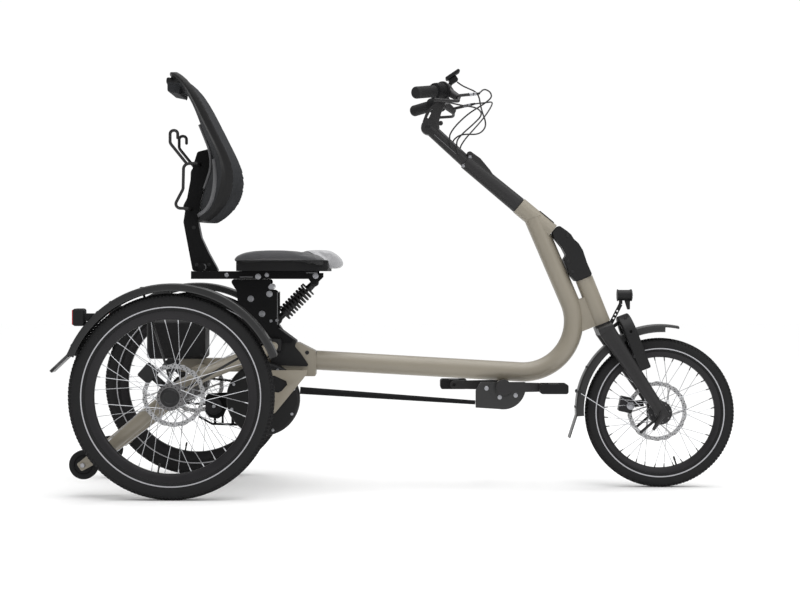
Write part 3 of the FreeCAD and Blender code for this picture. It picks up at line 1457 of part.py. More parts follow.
display_cable_route = (
    (61.0, -7.0, 44.0), (84.0, -21.0, 32.0), (106.0, -32.0, 21.0), (118.0, -36.0, 4.0), (122.0, -36.0, -22.0),
    (129.0, -34.0, -50.0), (140.0, -30.0, -78.0), (140.0, -24.0, -98.0), (126.0, -17.0, -115.0), (106.0, -8.0, -121.0),
    (77.0, 4.0, -118.0), (50.0, 16.0, -122.0), (26.0, 26.0, -146.0), (36.0, 24.3, -176.0),
)


def bar_spot(place):
    """A place given from the middle of the bar."""
    return bar_centre + Vector(*place)


def make_cables():
    """Brake, gear and display cables that loop forward from the bar down to the stem's arm."""
    lines = []
    for (name, side), route in zip(SIDES, brake_cable_routes):
        start, end = barrel_ends(side)
        ahead = (end - start).normalize()
        lines.append([end + ahead * seat_gap, end + ahead * barrel_exit] + [bar_spot(place) for place in route])
    collar, away = bar_place(-1, (grip_inner_share + grip_collar_share) / 2)
    lines.append([collar - Z_AXIS * (grip_collar_radius + seat_gap + cable_radius)]
                 + [bar_spot(place) for place in gear_cable_route])
    socket = (display_box_centre + display_along * display_box_length / 4
              - display_face * (display_box_height / 2 + seat_gap + cable_radius))
    lines.append([socket] + [bar_spot(place) for place in display_cable_route])
    cables = []
    for points in lines:
        radii = []
        for before, corner, after in zip(points, points[1:], points[2:]):
            shorter = min((corner - before).Length, (after - corner).Length)
            turn = math.pi - (before - corner).getAngle(after - corner)
            radii.append(cable_bend_share * shorter / math.tan(turn / 2))
        wire = bent_wire(points, radii)
        section = Part.Wire(Part.makeCircle(cable_radius, points[0], points[1] - points[0]))
        cables.append(wire.makePipeShell([section], True, False))
    return Part.makeCompound(cables)


# Cranks, pedals, chain guard and chain tube
arm_share = 0.8
pedal_pin_gap = 0.3
pedal_slot_shares = (-0.3, 0.3)
pedal_slot_share = 0.25
guard_radius = 75.0
guard_thickness = 14.0
guard_tail = 92.0
guard_tail_top = 12.0
guard_tail_low = 69.0
guard_top = 16.0
crescent_radius = 46.0
crescent_width = 13.0
crescent_thickness = 3.0
crescent_ear_radius = 8.0
crescent_ear_shares = ((-1.2, -0.02), (0.9, -0.62))
chain_tube_radius = 7.0
chain_tube_rear_radius = 12.0
chain_tube_drop = 52.0
chain_tube_gap = 1.5
chain_tube_rise = 28.0

guard_inset = bracket_half_width + seat_gap + guard_thickness / 2


def make_cranks():
    """Spindle with a crank arm on each side, the right one forward."""
    pieces = [disc(crank_centre, spindle_radius, crank_inside + crank_thickness)]
    for name, side in SIDES:
        ahead = -side
        near = min(side * crank_inside, side * (crank_inside + crank_thickness))
        boss = disc(crank_centre + Y_AXIS * side * (crank_inside + crank_thickness / 2), crank_boss_radius,
                    crank_thickness / 2)
        half = crank_width / 2
        tip = ahead * crank_length
        outline = [(crank_centre.x, crank_centre.z - half), (crank_centre.x + tip, crank_centre.z - half * arm_share),
                   (crank_centre.x + tip, crank_centre.z + half * arm_share), (crank_centre.x, crank_centre.z + half)]
        arm = side_plate(outline, near, near + crank_thickness)
        end = disc(Vector(crank_centre.x + tip, side * (crank_inside + crank_thickness / 2), crank_centre.z),
                   half * arm_share, crank_thickness / 2)
        eye = disc(Vector(crank_centre.x + tip, side * (crank_inside + crank_thickness / 2), crank_centre.z),
                   pedal_pin_radius, crank_thickness)
        pieces.append(fused([boss, arm, end]).cut(eye))
    return fused(pieces)


def make_pedal(side):
    """Flat pedal with its pin in the crank's eye."""
    tip = Vector(crank_centre.x - side * crank_length, 0, crank_centre.z)
    inner = crank_inside + crank_thickness + running_gap
    near = side * inner if side > 0 else side * (inner + pedal_width)
    body = Part.makeBox(pedal_length, pedal_width, pedal_height,
                        Vector(tip.x - pedal_length / 2, near, tip.z - pedal_height / 2))
    body = body.makeFillet(pedal_height / 4, [edge for edge in body.Edges if abs(edge.tangentAt(0).y) > 1 / 2])
    slots = []
    for share in pedal_slot_shares:
        slots.append(Part.makeBox(pedal_length * pedal_slot_share, pedal_width * pedal_slot_share * 3, pedal_height * 2,
                                  Vector(tip.x + pedal_length * share - pedal_length * pedal_slot_share / 2,
                                         near + pedal_width * pedal_slot_share / 2, tip.z - pedal_height)))
    body = body.cut(slots[0]).cut(slots[1])
    start = Vector(tip.x, side * (crank_inside + pedal_pin_gap), tip.z)
    pin = rod(start, Vector(tip.x, side * (inner + pedal_width / 2), tip.z), pedal_pin_radius - pedal_pin_gap)
    return fused([body, pin])


def make_chain_guard():
    """Casing beside the bracket shell, cut level under the main tube, with a bolted crescent plate."""
    near = crank_centre - Y_AXIS * guard_inset
    case = disc(near, guard_radius, guard_thickness / 2)
    low, high = near.y - guard_thickness / 2, near.y + guard_thickness / 2
    tail = side_plate([(near.x, near.z - guard_radius + seat_gap), (near.x - guard_tail, near.z - guard_tail_low),
                       (near.x - guard_tail, near.z - guard_tail_top), (near.x - guard_radius, near.z + guard_top),
                       (near.x, near.z + guard_top)], low, high)
    over = Part.makeBox(guard_radius * 3, guard_thickness * 3, guard_radius * 2,
                        near + Vector(-guard_radius * 3 / 2, -guard_thickness * 3 / 2, guard_top))
    face = near - Y_AXIS * (guard_thickness / 2)
    plate = disc(face, crescent_radius, crescent_thickness).cut(
        disc(face, crescent_radius - crescent_width, guard_thickness))
    pieces = [case, tail, plate]
    for x_share, z_share in crescent_ear_shares:
        ear = face + Vector(crescent_radius * x_share, 0, crescent_radius * z_share)
        pieces.append(disc(ear, crescent_ear_radius, crescent_thickness))
    bore = disc(near, spindle_radius + running_gap, guard_thickness)
    seat = disc(crank_centre, bracket_radius + seat_gap, bracket_half_width + seat_gap)
    return fused(pieces).cut(over).cut(bore).cut(seat)


def make_chain_tube():
    """Tapering chain tube from the front casing back to the gear unit's cover."""
    start = Vector(crank_centre.x - guard_tail - chain_tube_gap, -guard_inset, crank_centre.z - chain_tube_drop)
    reach = drive_centre + X_AXIS * (drive_cover_radius + seat_gap)
    end = Vector(reach.x, -drive_cover_inset + drive_cover_depth / 2, reach.z + chain_tube_rise)
    return rod(start, end, chain_tube_radius, chain_tube_rear_radius)


cover_gap = 1.0
cover_half = 34.0
cover_corner = 8.0
cover_shares = ((0.0, -0.31), (0.0, 0.27), (0.45, 0.255), (0.866, 0.282), (1.13, 0.236), (1.32, 0.143), (1.485, 0.116),
                (1.64, 0.036), (1.91, -0.144), (1.76, -0.42), (1.615, -0.44), (1.195, -0.31), (0.91, -0.283),
                (0.83, -0.407), (0.28, -0.414))


def make_steering_cover(main_tube, head_tube):
    """Black moulded cover around the joint between riser and head tube."""
    low = head_top + head_up * cover_gap
    reach = (joint_point - head_top).Length
    outline = [low + head_up * (reach * up_share) + head_ahead * (reach * ahead_share)
               for up_share, ahead_share in cover_shares]
    cover = side_plate([(place.x, place.z) for place in outline], -cover_half, cover_half, cover_corner)
    room = steerer_radius + running_gap
    inside = fused([rod(head_bottom, joint_point, room), Part.makeSphere(room, joint_point),
                    rod(joint_point, riser_foot, room)])
    return cover.cut(inside).cut(main_tube).cut(head_tube)


make_wheels()
nodes["main_tube"] = make_main_tube()
nodes["head_tube"] = make_head_tube(nodes["main_tube"])
nodes["steering_cover"] = make_steering_cover(nodes["main_tube"], nodes["head_tube"])
nodes["rear_frame"] = make_rear_frame().cut(nodes["main_tube"])
for name, side in SIDES:
    nodes["roller_" + name] = make_roller(side)
nodes["roller_forks"] = Part.makeCompound([make_roller_fork(side) for name, side in SIDES])
nodes["drive_cover"] = make_drive_cover()
nodes["gear_unit"] = make_gear_unit()
nodes["second_drive"] = make_second_drive()
nodes["battery"] = make_battery()
nodes["frame_fairing"] = make_fairing(nodes["rear_frame"], nodes["main_tube"])
nodes["seat_rail"] = make_seat_rail()
nodes["seat_plates"] = make_seat_plates(nodes["rear_frame"])
nodes["seat_pan"] = make_seat_pan()
nodes["seat_cushion"] = make_cushion(nodes["seat_pan"])
nodes["seat_shock"] = make_shock()
nodes["backrest"] = make_backrest()
nodes["backrest_post"] = make_backrest_post(nodes["backrest"])
nodes["backrest_hooks"] = make_hooks()
for name, side in SIDES:
    nodes["rear_fender_" + name] = make_rear_fender(side)
nodes["tail_lamps"] = Part.makeCompound([make_tail_lamp(side) for name, side in SIDES])
nodes["rear_calipers"] = Part.makeCompound([make_rear_caliper(side) for name, side in SIDES])
nodes["fork"] = make_fork()
nodes["front_fender"] = make_front_fender()
nodes["front_caliper"] = make_front_caliper(nodes["fork"])
nodes["ring_lock"] = make_ring_lock(nodes["fork"])
nodes["headlamp"] = make_headlamp(nodes["fork"]).cut(nodes["ring_lock"])
nodes["riser"] = make_riser()
nodes["stem"] = make_stem(nodes["riser"])
nodes["handlebar"] = make_handlebar()
nodes["grips"] = make_grips()
nodes["brake_levers"] = make_levers()
nodes["display"] = make_display()
nodes["control_cables"] = make_cables()
nodes["cranks"] = make_cranks()
for name, side in SIDES:
    nodes["pedal_" + name] = make_pedal(side)
nodes["chain_guard"] = make_chain_guard()
nodes["chain_tube"] = make_chain_tube()

os.makedirs("parts", exist_ok=True)
for name, shape in nodes.items():
    shape.exportStep("parts/" + name + ".step")
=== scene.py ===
import json
import math

import bmesh
import bpy
from mathutils import Matrix, Vector
from mathutils.bvhtree import BVHTree


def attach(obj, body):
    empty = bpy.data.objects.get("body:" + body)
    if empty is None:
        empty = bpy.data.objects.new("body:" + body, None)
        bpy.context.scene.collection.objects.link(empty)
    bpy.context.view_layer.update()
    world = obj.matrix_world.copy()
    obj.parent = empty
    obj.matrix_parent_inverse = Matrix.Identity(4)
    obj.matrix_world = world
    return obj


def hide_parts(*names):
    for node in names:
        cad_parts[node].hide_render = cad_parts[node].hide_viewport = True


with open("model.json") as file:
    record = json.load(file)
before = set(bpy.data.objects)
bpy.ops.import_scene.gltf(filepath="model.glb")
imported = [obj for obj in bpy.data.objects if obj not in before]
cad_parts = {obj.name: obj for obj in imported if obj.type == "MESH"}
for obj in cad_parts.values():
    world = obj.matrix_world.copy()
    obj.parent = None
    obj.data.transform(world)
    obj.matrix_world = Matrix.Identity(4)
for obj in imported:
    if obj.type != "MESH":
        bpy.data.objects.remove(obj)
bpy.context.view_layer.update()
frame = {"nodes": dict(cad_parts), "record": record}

bl_info = {
    "name": "Semi-recumbent trike",
    "version": (1, 0, 0),
    "blender": (4, 5, 0),
    "location": "View3D > Sidebar > Trike",
    "description": "Dresses the packed trike: materials, wheels, seat, cables, lamps and trim",
    "category": "Object",
}

X, Y, Z = Vector((1, 0, 0)), Vector((0, 1, 0)), Vector((0, 0, 1))
MM = 0.001
WAYS = (-1, 1)
SIDES = (("right", -1), ("left", 1))

# Places are vectors in metres. Profiles, outlines, radii and sizes of shapes are in millimetres.
FRONT_HUB = Vector((0.861, 0, 0.25))
REAR_HUB = Vector((-0.732, 0, 0.3265))
HALF_TRACK = 0.35
REAR_ARCH = REAR_HUB + Vector((0.004, 0, 0.003))
FRONT_ARCH = FRONT_HUB + Vector((0.006, 0, 0.008))
DRIVE = Vector((-0.464, 0, 0.3))
ROLLER_AXLE, ROLLER_ASIDE = Vector((-1.027, 0, 0.101)), 0.246
STAY_ASIDE = 0.0735  # front fender stays
CUSHION_MIDDLE = Vector((-0.38, 0, 0.758))
BEHIND, BESIDE = -0.9, 0.6  # where rays start, behind the backrest and beside the trike

RECORD = frame["record"]
NODE_BODY = {node: body for body, nodes in RECORD["behaviour"]["bodies"].items() for node in nodes}

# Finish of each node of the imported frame
FINISHES = {
    "paint": "main_tube head_tube rear_frame roller_forks",
    "plastic": "steering_cover frame_fairing drive_cover headlamp battery ring_lock",
    "fender": "chain_guard front_fender rear_fender_right rear_fender_left",
    "plate": "chain_tube backrest_post seat_plates seat_rail",
    "nylon": "display seat_pan pedal_right pedal_left tail_lamps",
    "coat": "riser stem handlebar backrest_hooks fork brake_levers cranks",
    "rubber": "grips roller_right roller_left",
    "dark": "seat_shock front_caliper rear_calipers",
    "tyre": "front_tyre rear_tyre_right rear_tyre_left",
    "rim": "front_wheel rear_wheel_right rear_wheel_left",
    "cloth": "seat_cushion", "mesh": "backrest", "cable": "control_cables", "zinc": "second_drive",
    "cast": "gear_unit",
}
NODE_LOOK = {node: look for look, nodes in FINISHES.items() for node in nodes.split()}


def srgb(code):
    """Linear colour of a hex sRGB code."""
    parts = [int(code[i:i + 2], 16) / 255 for i in (0, 2, 4)]
    return tuple(c / 12.92 if c <= 0.04045 else ((c + 0.055) / 1.055) ** 2.4 for c in parts)


def colour_of(name, description, code):
    return bpy.props.FloatVectorProperty(name=name, description=description, subtype="COLOR", size=3,
                                         min=0, max=1, default=srgb(code))


def length_of(name, description, default, low, high):
    return bpy.props.FloatProperty(name=name, description=description, unit="LENGTH", default=default,
                                   min=low, max=high)


class TrikeColours(bpy.types.PropertyGroup):
    """Colours that an owner would choose."""
    frame_paint: colour_of("Frame paint", "Powder coat of the frame tubes", "888173")
    black_coat: colour_of("Black coat", "Powder coat of fork, riser and plates", "1C1B1C")
    black_plastic: colour_of("Moulded plastic", "Fenders, guards and covers", "0E0E0F")
    tyre_rubber: colour_of("Tyre rubber", "Tyres and rollers", "151516")
    seat_cloth: colour_of("Seat cloth", "Woven cloth of the cushion", "48484A")
    seat_grey: colour_of("Seat insert", "Light grey middle of the cushion", "A4A4A6")
    back_mesh: colour_of("Back mesh", "Spacer mesh of the backrest", "333436")
    stripe: colour_of("Reflective stripe", "Stripe on the tyres' sides", "ACACB0")


class TrikeSizes(bpy.types.PropertyGroup):
    """Sizes of what is added to the frame."""
    tread_height: length_of("Tread height", "Height of the tread blocks", 0.0016, 0.0005, 0.003)
    stripe_width: length_of("Stripe width", "Width of the tyres' reflective stripe", 0.0036, 0.001, 0.008)
    spoke_width: length_of("Spoke width", "Diameter of a spoke", 0.0021, 0.001, 0.004)
    cushion_pressure: bpy.props.FloatProperty(
        name="Cushion pressure", description="Air pressure that fills the cushion", default=4.0, min=0.5,
        max=10.0)
    cushion_cap: length_of("Cushion swell", "Furthest that the cushion may swell", 0.0065, 0.0, 0.02)
    cable_width: length_of("Cable width", "Diameter of a control cable", 0.0052, 0.003, 0.008)
    floor_tone: bpy.props.FloatProperty(name="Floor tone", description="How pale the floor is",
                                        subtype="FACTOR", default=0.96, min=0.0, max=1.0)


def settings():
    return bpy.context.scene.trike_colours, bpy.context.scene.trike_sizes


# Nodes and materials

def add_node(tree, kind, sockets=None, **options):
    """One shader node: its options, then each socket's value or what feeds it."""
    item = tree.nodes.new(kind)
    for key, value in options.items():
        setattr(item, key, value)
    for key, value in (sockets or {}).items():
        if isinstance(value, bpy.types.NodeSocket):
            tree.links.new(value, item.inputs[key])
        else:
            item.inputs[key].default_value = value
    return item


def new_material(name, **values):
    """Material with a Principled shader whose named sockets are set, and its Object coordinates."""
    made = bpy.data.materials.new(name)
    made.use_nodes = True
    tree = made.node_tree
    shader = tree.nodes["Principled BSDF"]
    for key, value in values.items():
        shader.inputs[key.replace("_", " ")].default_value = value
    return made, tree, shader, add_node(tree, "ShaderNodeTexCoord").outputs["Object"]


def rgba(colour, gain):
    return tuple(min(1.0, c * gain) for c in colour) + (1.0,)


def noise(tree, place, size, detail):
    """Cloudy pattern with patches of a size in millimetres."""
    return add_node(tree, "ShaderNodeTexNoise",
                    {"Vector": place, "Scale": 1 / (size * MM), "Detail": detail}).outputs["Fac"]


def patterned(tree, shader, shade, tones, cloud, rough, height, depth, strength=1.0):
    """Lead colour between two tones, roughness between two values, and relief in mm, by patterns."""
    mixed = add_node(tree, "ShaderNodeMix", {0: shade, 6: tones[0], 7: tones[1]}, data_type="RGBA")
    tree.links.new(mixed.outputs[2], shader.inputs["Base Color"])
    spread = add_node(tree, "ShaderNodeMapRange", {"Value": cloud, "To Min": rough[0], "To Max": rough[1]})
    tree.links.new(spread.outputs["Result"], shader.inputs["Roughness"])
    bump = add_node(tree, "ShaderNodeBump", {"Height": height, "Distance": depth * MM, "Strength": strength})
    tree.links.new(bump.outputs["Normal"], shader.inputs["Normal"])


def surface(name, colour, rough, patch, grain, depth, tone=0.12, stretch=(1, 1, 1), **values):
    """Finish with clouded tone and roughness over patches, and a fine grain in relief."""
    made, tree, shader, place = new_material(name, **values)
    place = add_node(tree, "ShaderNodeMapping", {"Vector": place, "Scale": stretch}).outputs["Vector"]
    cloud, fine = noise(tree, place, patch, 3.0), noise(tree, place, grain, 2.0)
    patterned(tree, shader, cloud, (rgba(colour, 1 - tone), rgba(colour, 1 + tone)), cloud, rough,
              fine, depth)
    return made


def woven(name, colour, pitch, depth, rough, tone, dark_gap, **values):
    """Cloth with crossing threads, made from wave patterns of the real pitch."""
    made, tree, shader, place = new_material(name, **values)
    bands = 0.314 / (pitch * MM)  # a wave pattern has tau / 20 bands for each unit of its scale
    waves = [add_node(tree, "ShaderNodeTexWave",
                      {"Vector": place, "Scale": bands, "Distortion": 0.4, "Detail": 1.0,
                       "Detail Scale": 2.0},
                      wave_type="BANDS", bands_direction=way, wave_profile="SIN").outputs["Fac"]
             for way in "XYZ"]
    first = add_node(tree, "ShaderNodeMath", {0: waves[0], 1: waves[1]}, operation="MULTIPLY").outputs[0]
    weave = add_node(tree, "ShaderNodeMath", {0: first, 1: waves[2]}, operation="MAXIMUM").outputs[0]
    cloud = noise(tree, place, pitch * 30, 4.0)
    shade = add_node(tree, "ShaderNodeMath", {0: weave, 1: cloud}, operation="MULTIPLY").outputs[0]
    spread = add_node(tree, "ShaderNodeMapRange", {"Value": shade, "From Max": 0.55}).outputs["Result"]
    patterned(tree, shader, spread, (rgba(colour, dark_gap), rgba(colour, 1 + tone)), cloud, rough,
              weave, depth, 0.9)
    return made


def cells(name, colour, pitch, depth, hole, **values):
    """Rows of small open cells that show a darker ground."""
    made, tree, shader, place = new_material(name, **values)
    dots = add_node(tree, "ShaderNodeTexVoronoi",
                    {"Vector": place, "Scale": 1 / (pitch * MM), "Randomness": 0.25}).outputs["Distance"]
    ring = add_node(tree, "ShaderNodeMapRange",
                    {"Value": dots, "From Min": hole, "From Max": hole + 0.2}).outputs["Result"]
    cloud = noise(tree, place, 1000 / 14, 3.0)
    patterned(tree, shader, ring, (rgba(colour, 0.35), rgba(colour, 1.1)), cloud, (0.7, 0.95), ring, depth)
    return made


LOOKS = {}


def make_looks(colours):
    """Every material of the trike, named for what it is."""
    plain = colours.black_plastic
    LOOKS.update(
        # beige powder coat: satin sheen with a faint orange-peel
        paint=surface("beige_powder_coat", colours.frame_paint, (0.34, 0.46), 120, 1.6, 0.04, 0.05,
                      Coat_Weight=0.25, Coat_Roughness=0.3),
        # black powder coat: deeper satin with a finer peel
        coat=surface("black_powder_coat", colours.black_coat, (0.42, 0.56), 80, 1.1, 0.05,
                     Specular_IOR_Level=0.4),
        # plate coat: the same powder on laser-cut plates, flatter and without sheen
        plate=surface("matt_black_powder_coat", plain, (0.55, 0.7), 60, 1.1, 0.05, 0.14,
                      Specular_IOR_Level=0.14),
        # moulded covers: fine spark-eroded grain that dulls the gloss
        plastic=surface("grained_black_abs", plain, (0.44, 0.6), 50, 0.9, 0.12, 0.14, Specular_IOR_Level=0.3),
        # fenders: smooth moulded plastic, shinier along the crown
        fender=surface("satin_black_polypropylene", plain, (0.3, 0.44), 90, 2, 0.04, 0.1,
                       Coat_Weight=0.2, Coat_Roughness=0.25),
        # glass-filled nylon: pedals, clamps and small cases, with a mottled dull skin
        nylon=surface("glass_filled_nylon", srgb("161617"), (0.5, 0.7), 12, 0.5, 0.08, 0.2,
                      Specular_IOR_Level=0.2),
        # tyre rubber: matt, slightly dusty in patches, with fine mould lines
        tyre=surface("tyre_rubber", colours.tyre_rubber, (0.66, 0.84), 30, 1.4, 0.12, 0.16,
                     Specular_IOR_Level=0.3),
        # grip rubber: softer and a little lighter than the tyres
        rubber=surface("grip_rubber", srgb("1C1C1D"), (0.6, 0.8), 15, 0.8, 0.1, 0.15, Specular_IOR_Level=0.3),
        # reflective stripe: glass beads in a pale silver band
        stripe=surface("reflective_bead_tape", colours.stripe, (0.3, 0.5), 10, 0.4, 0.03, 0.08,
                       Metallic=0.35, Sheen_Weight=0.3),
        # anodised aluminium rim: even black with a dry metallic sheen
        rim=surface("black_anodised_aluminium", srgb("242325"), (0.34, 0.5), 40, 0.6, 0.03, 0.15,
                    Metallic=0.6),
        # stainless spokes: bright drawn wire
        wire=surface("drawn_stainless_wire", srgb("B9BABD"), (0.2, 0.34), 10, 0.5, 0.01, Metallic=1.0),
        # disc steel: ground surface, streaked one way
        disc=surface("ground_disc_steel", srgb("A9A9AA"), (0.3, 0.45), 6, 0.4, 0.02, 0.14,
                     stretch=(1, 1, 6), Metallic=1.0),
        # zinc-plated steel: bolts and washers, cloudy
        zinc=surface("zinc_plated_steel", srgb("A3A4A8"), (0.25, 0.42), 4, 0.5, 0.02, 0.15, Metallic=1.0),
        # cast aluminium: hub shells and gear case, sand-dull
        cast=surface("cast_aluminium", srgb("6E6D6E"), (0.42, 0.6), 20, 0.8, 0.08, Metallic=0.9),
        # oiled black steel: springs, calipers and bolts, and painted shade in the brake discs' holes
        dark=surface("blackened_steel_and_painted_hole_shade", srgb("232324"), (0.3, 0.5), 10, 0.6, 0.04, 0.2, Metallic=0.5),
        # chain: grey steel with oil in its joints
        chain=surface("oiled_chain_steel", srgb("343332"), (0.3, 0.5), 6, 0.6, 0.04, 0.3, Metallic=0.9),
        # cushion cover: dense woven polyester with a little fuzz
        cloth=woven("woven_polyester_cloth", colours.seat_cloth, 1.6, 0.18, (0.75, 0.92), 0.25, 0.6,
                    Sheen_Weight=0.25, Sheen_Roughness=0.5),
        # light insert: smooth coated cloth
        grey=woven("light_grey_coated_cloth", colours.seat_grey, 1.1, 0.06, (0.5, 0.66), 0.08, 0.86,
                   Sheen_Weight=0.1),
        # backrest mesh: knitted spacer fabric with small open cells
        mesh=cells("knitted_spacer_mesh", colours.back_mesh, 3.2, 0.4, 0.22, Specular_IOR_Level=0.15),
        # pale satin nylon of the slot strips and lumbar bows, and painted highlight along the backrest post's
        # edges and the stem's arm
        strip=surface("pale_nylon_and_painted_highlight", srgb("5E5E60"), (0.45, 0.6), 40, 0.9, 0.06, 0.1),
        # piping: tight dark braid, also painted shade on the cushion's side below the piping
        piping=woven("braided_piping_and_painted_shade", srgb("1B1B1C"), 1.2, 0.2, (0.7, 0.85), 0.3, 0.5),
        # cable jacket: smooth soft PVC
        cable=surface("pvc_cable_jacket", srgb("1A1A1B"), (0.34, 0.46), 20, 0.9, 0.02),
        # red lens: tinted acrylic with prisms behind it
        red=cells("red_prism_lens", srgb("9A0C14"), 4.2, 0.5, 0.1, Specular_IOR_Level=0.3, Coat_Weight=0.3,
                  Coat_Roughness=0.06),
        # clear lens: acrylic over a silver reflector
        clear=surface("clear_lamp_lens", srgb("D9DCDE"), (0.04, 0.1), 10, 3, 0.3, 0.04,
                      Transmission_Weight=0.6, Coat_Weight=1.0, Coat_Roughness=0.03),
        # display glass: dark mirror-smooth panel
        glass=surface("dark_display_glass", srgb("101316"), (0.06, 0.12), 50, 4, 0.01, 0.05,
                      Coat_Weight=1.0, Coat_Roughness=0.03),
    )


# Shapes

def polar(angle):
    """Direction in a wheel's plane, angle in degrees from straight ahead."""
    turn = math.radians(angle)
    return Vector((math.cos(turn), 0, math.sin(turn)))


def mirrored(side, closed=False):
    """Profile with its mirror image across the plane through the centre."""
    far = [(reach, -along) for reach, along in reversed(side) if along]
    return [*side, *far, *(side[:1] if closed else ())]


def paint(bm, index):
    """Give the faces made since the last call one material slot."""
    done = bm.faces.layers.int.get("done") or bm.faces.layers.int.new("done")
    for face in bm.faces:
        if not face[done]:
            face.material_index = index
            face[done] = 1


def lathe(bm, profile, centre, axis=Y, steps=48, out=None):
    """Spin a line of (reach, along) places round an axis through centre."""
    axis = Vector(axis).normalized()
    out = Vector(out) if out else axis.orthogonal().normalized()
    verts = [bm.verts.new(centre + out * (reach * MM) + axis * (along * MM)) for reach, along in profile]
    edges = [bm.edges.new(pair) for pair in zip(verts, verts[1:])]
    bmesh.ops.spin(bm, geom=verts + edges, cent=centre, axis=axis, angle=math.tau, steps=steps,
                   use_merge=True)


def rod(bm, start, end, radius, end_radius=None, sides=16, caps=True):
    """Round bar from start to end."""
    run = end - start
    turn = Z.rotation_difference(run.normalized()).to_matrix().to_4x4()
    bmesh.ops.create_cone(bm, cap_ends=caps, segments=sides, radius1=radius * MM,
                          radius2=(radius if end_radius is None else end_radius) * MM, depth=run.length,
                          matrix=Matrix.Translation((start + end) / 2) @ turn)


def pin(bm, place, axis, low, high, radius, end_radius=None, sides=16, caps=True):
    """Round bar along an axis through a place, from low to high."""
    rod(bm, place + axis * (low * MM), place + axis * (high * MM), radius, end_radius, sides, caps)


def box(bm, centre, size, turn=None, bevel=0.0, segments=2):
    """Block with rounded edges."""
    scale = Matrix.Diagonal((*(length * MM for length in size), 1))
    made = bmesh.ops.create_cube(bm, size=1, matrix=Matrix.Translation(centre) @ (turn or Matrix()) @ scale)
    if bevel:
        edges = {edge for vert in made["verts"] for edge in vert.link_edges}
        bmesh.ops.bevel(bm, geom=list(edges), offset=bevel * MM, segments=segments, profile=0.5,
                        affect="EDGES", material=-1)


def thicken(bm, faces, way):
    """Extrude faces along the Y axis."""
    made = bmesh.ops.extrude_face_region(bm, geom=faces)["geom"]
    bmesh.ops.translate(bm, verts=[item for item in made if isinstance(item, bmesh.types.BMVert)],
                        vec=(0, way * MM, 0))
    return made


def plate(bm, outline, low, high, bevel):
    """Side-view outline of (x, z) places given thickness from y low to y high."""
    face = bm.faces.new([bm.verts.new((x * MM, low * MM, z * MM)) for x, z in outline])
    made = thicken(bm, [face], high - low)
    ends = [face] + [item for item in made if isinstance(item, bmesh.types.BMFace)]
    bmesh.ops.bevel(bm, geom=list({edge for end in ends for edge in end.edges}), offset=bevel * MM,
                    segments=2, profile=0.5, affect="EDGES", material=-1)


def bolt(bm, place, axis, radius, height, recess=True):
    """Round bolt head with a chamfer and a six-sided recess."""
    lathe(bm, [(radius, 0), (radius, height * 0.7), (radius * 0.86, height), (radius * 0.5, height)],
          place, axis, 18)
    if recess:
        pin(bm, place, axis, height * 0.3, height, radius * 0.46, radius * 0.5, 6)


def tube(name, points, radius, sides=3):
    """Smooth round line through control points, as a curve object; radius in metres."""
    data = bpy.data.curves.new(name, "CURVE")
    data.dimensions = "3D"
    data.bevel_depth = radius
    data.bevel_resolution = sides
    data.resolution_u = 8
    data.use_fill_caps = True
    spline = data.splines.new("NURBS")
    spline.points.add(len(points) - 1)
    for point, place in zip(spline.points, points):
        point.co = (*place, 1)
    spline.order_u = 3
    spline.use_endpoint_u = True
    return bpy.data.objects.new(name, data)


def curve_mesh(bm, points, radius, sides=2):
    """Add a smooth round line to a mesh."""
    line = tube("line", points, radius * MM, sides)
    mesh = bpy.data.meshes.new_from_object(line)
    bm.from_mesh(mesh)
    bpy.data.meshes.remove(mesh)
    data = line.data
    bpy.data.objects.remove(line)
    bpy.data.curves.remove(data)


def dress(piece, body, looks, nodes=()):
    """Put a piece on its body with its materials."""
    bpy.context.scene.collection.objects.link(piece)
    for look in looks:
        piece.data.materials.append(LOOKS[look])
    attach(piece, body)
    if nodes:
        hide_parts(*nodes)
    return piece


def finish_mesh(name, bm, body, looks, angle=35.0, weld=1e-5, nodes=()):
    """Turn a bmesh into a piece: doubles merged, normals outward, smooth but for its sharp edges."""
    bmesh.ops.remove_doubles(bm, verts=bm.verts, dist=weld)
    bmesh.ops.recalc_face_normals(bm, faces=bm.faces)
    mesh = bpy.data.meshes.new(name)
    bm.to_mesh(mesh)
    bm.free()
    mesh.shade_smooth()
    mesh.set_sharp_from_angle(angle=math.radians(angle))
    return dress(bpy.data.objects.new(name, mesh), body, looks, nodes)


def stand_in(name, bm, node, looks, angle=35.0, weld=1e-6):
    """Finished piece that replaces one node."""
    return finish_mesh(name, bm, NODE_BODY[node], looks, angle, weld, (node,))


def node_copy(name):
    """A node's own mesh with its doubles merged, to be worked on in a new piece."""
    bm = bmesh.new()
    bm.from_mesh(frame["nodes"][name].data)
    bmesh.ops.remove_doubles(bm, verts=bm.verts, dist=1e-6)
    bmesh.ops.dissolve_limit(bm, angle_limit=math.radians(0.5), verts=bm.verts, edges=bm.edges)
    for face in bm.faces:
        face.material_index = 0
    return bm


def surface_tree(piece):
    """Search tree over a piece's mesh."""
    bm = bmesh.new()
    bm.from_mesh(piece.data)
    tree = BVHTree.FromBMesh(bm)
    bm.free()
    return tree


def traced(tree, rays, lift=0.0):
    """Places where rays of (start, way) meet a surface, lifted off it; a ray that misses gives none."""
    hits = [(tree.ray_cast(start, way)[0], way) for start, way in rays]
    return [hit - way * (lift * MM) for hit, way in hits if hit]


def applied(piece):
    """Turn a piece's modifiers into its mesh."""
    bpy.context.view_layer.update()
    mesh = bpy.data.meshes.new_from_object(piece.evaluated_get(bpy.context.evaluated_depsgraph_get()))
    old = piece.data
    piece.modifiers.clear()
    piece.data = mesh
    bpy.data.meshes.remove(old)


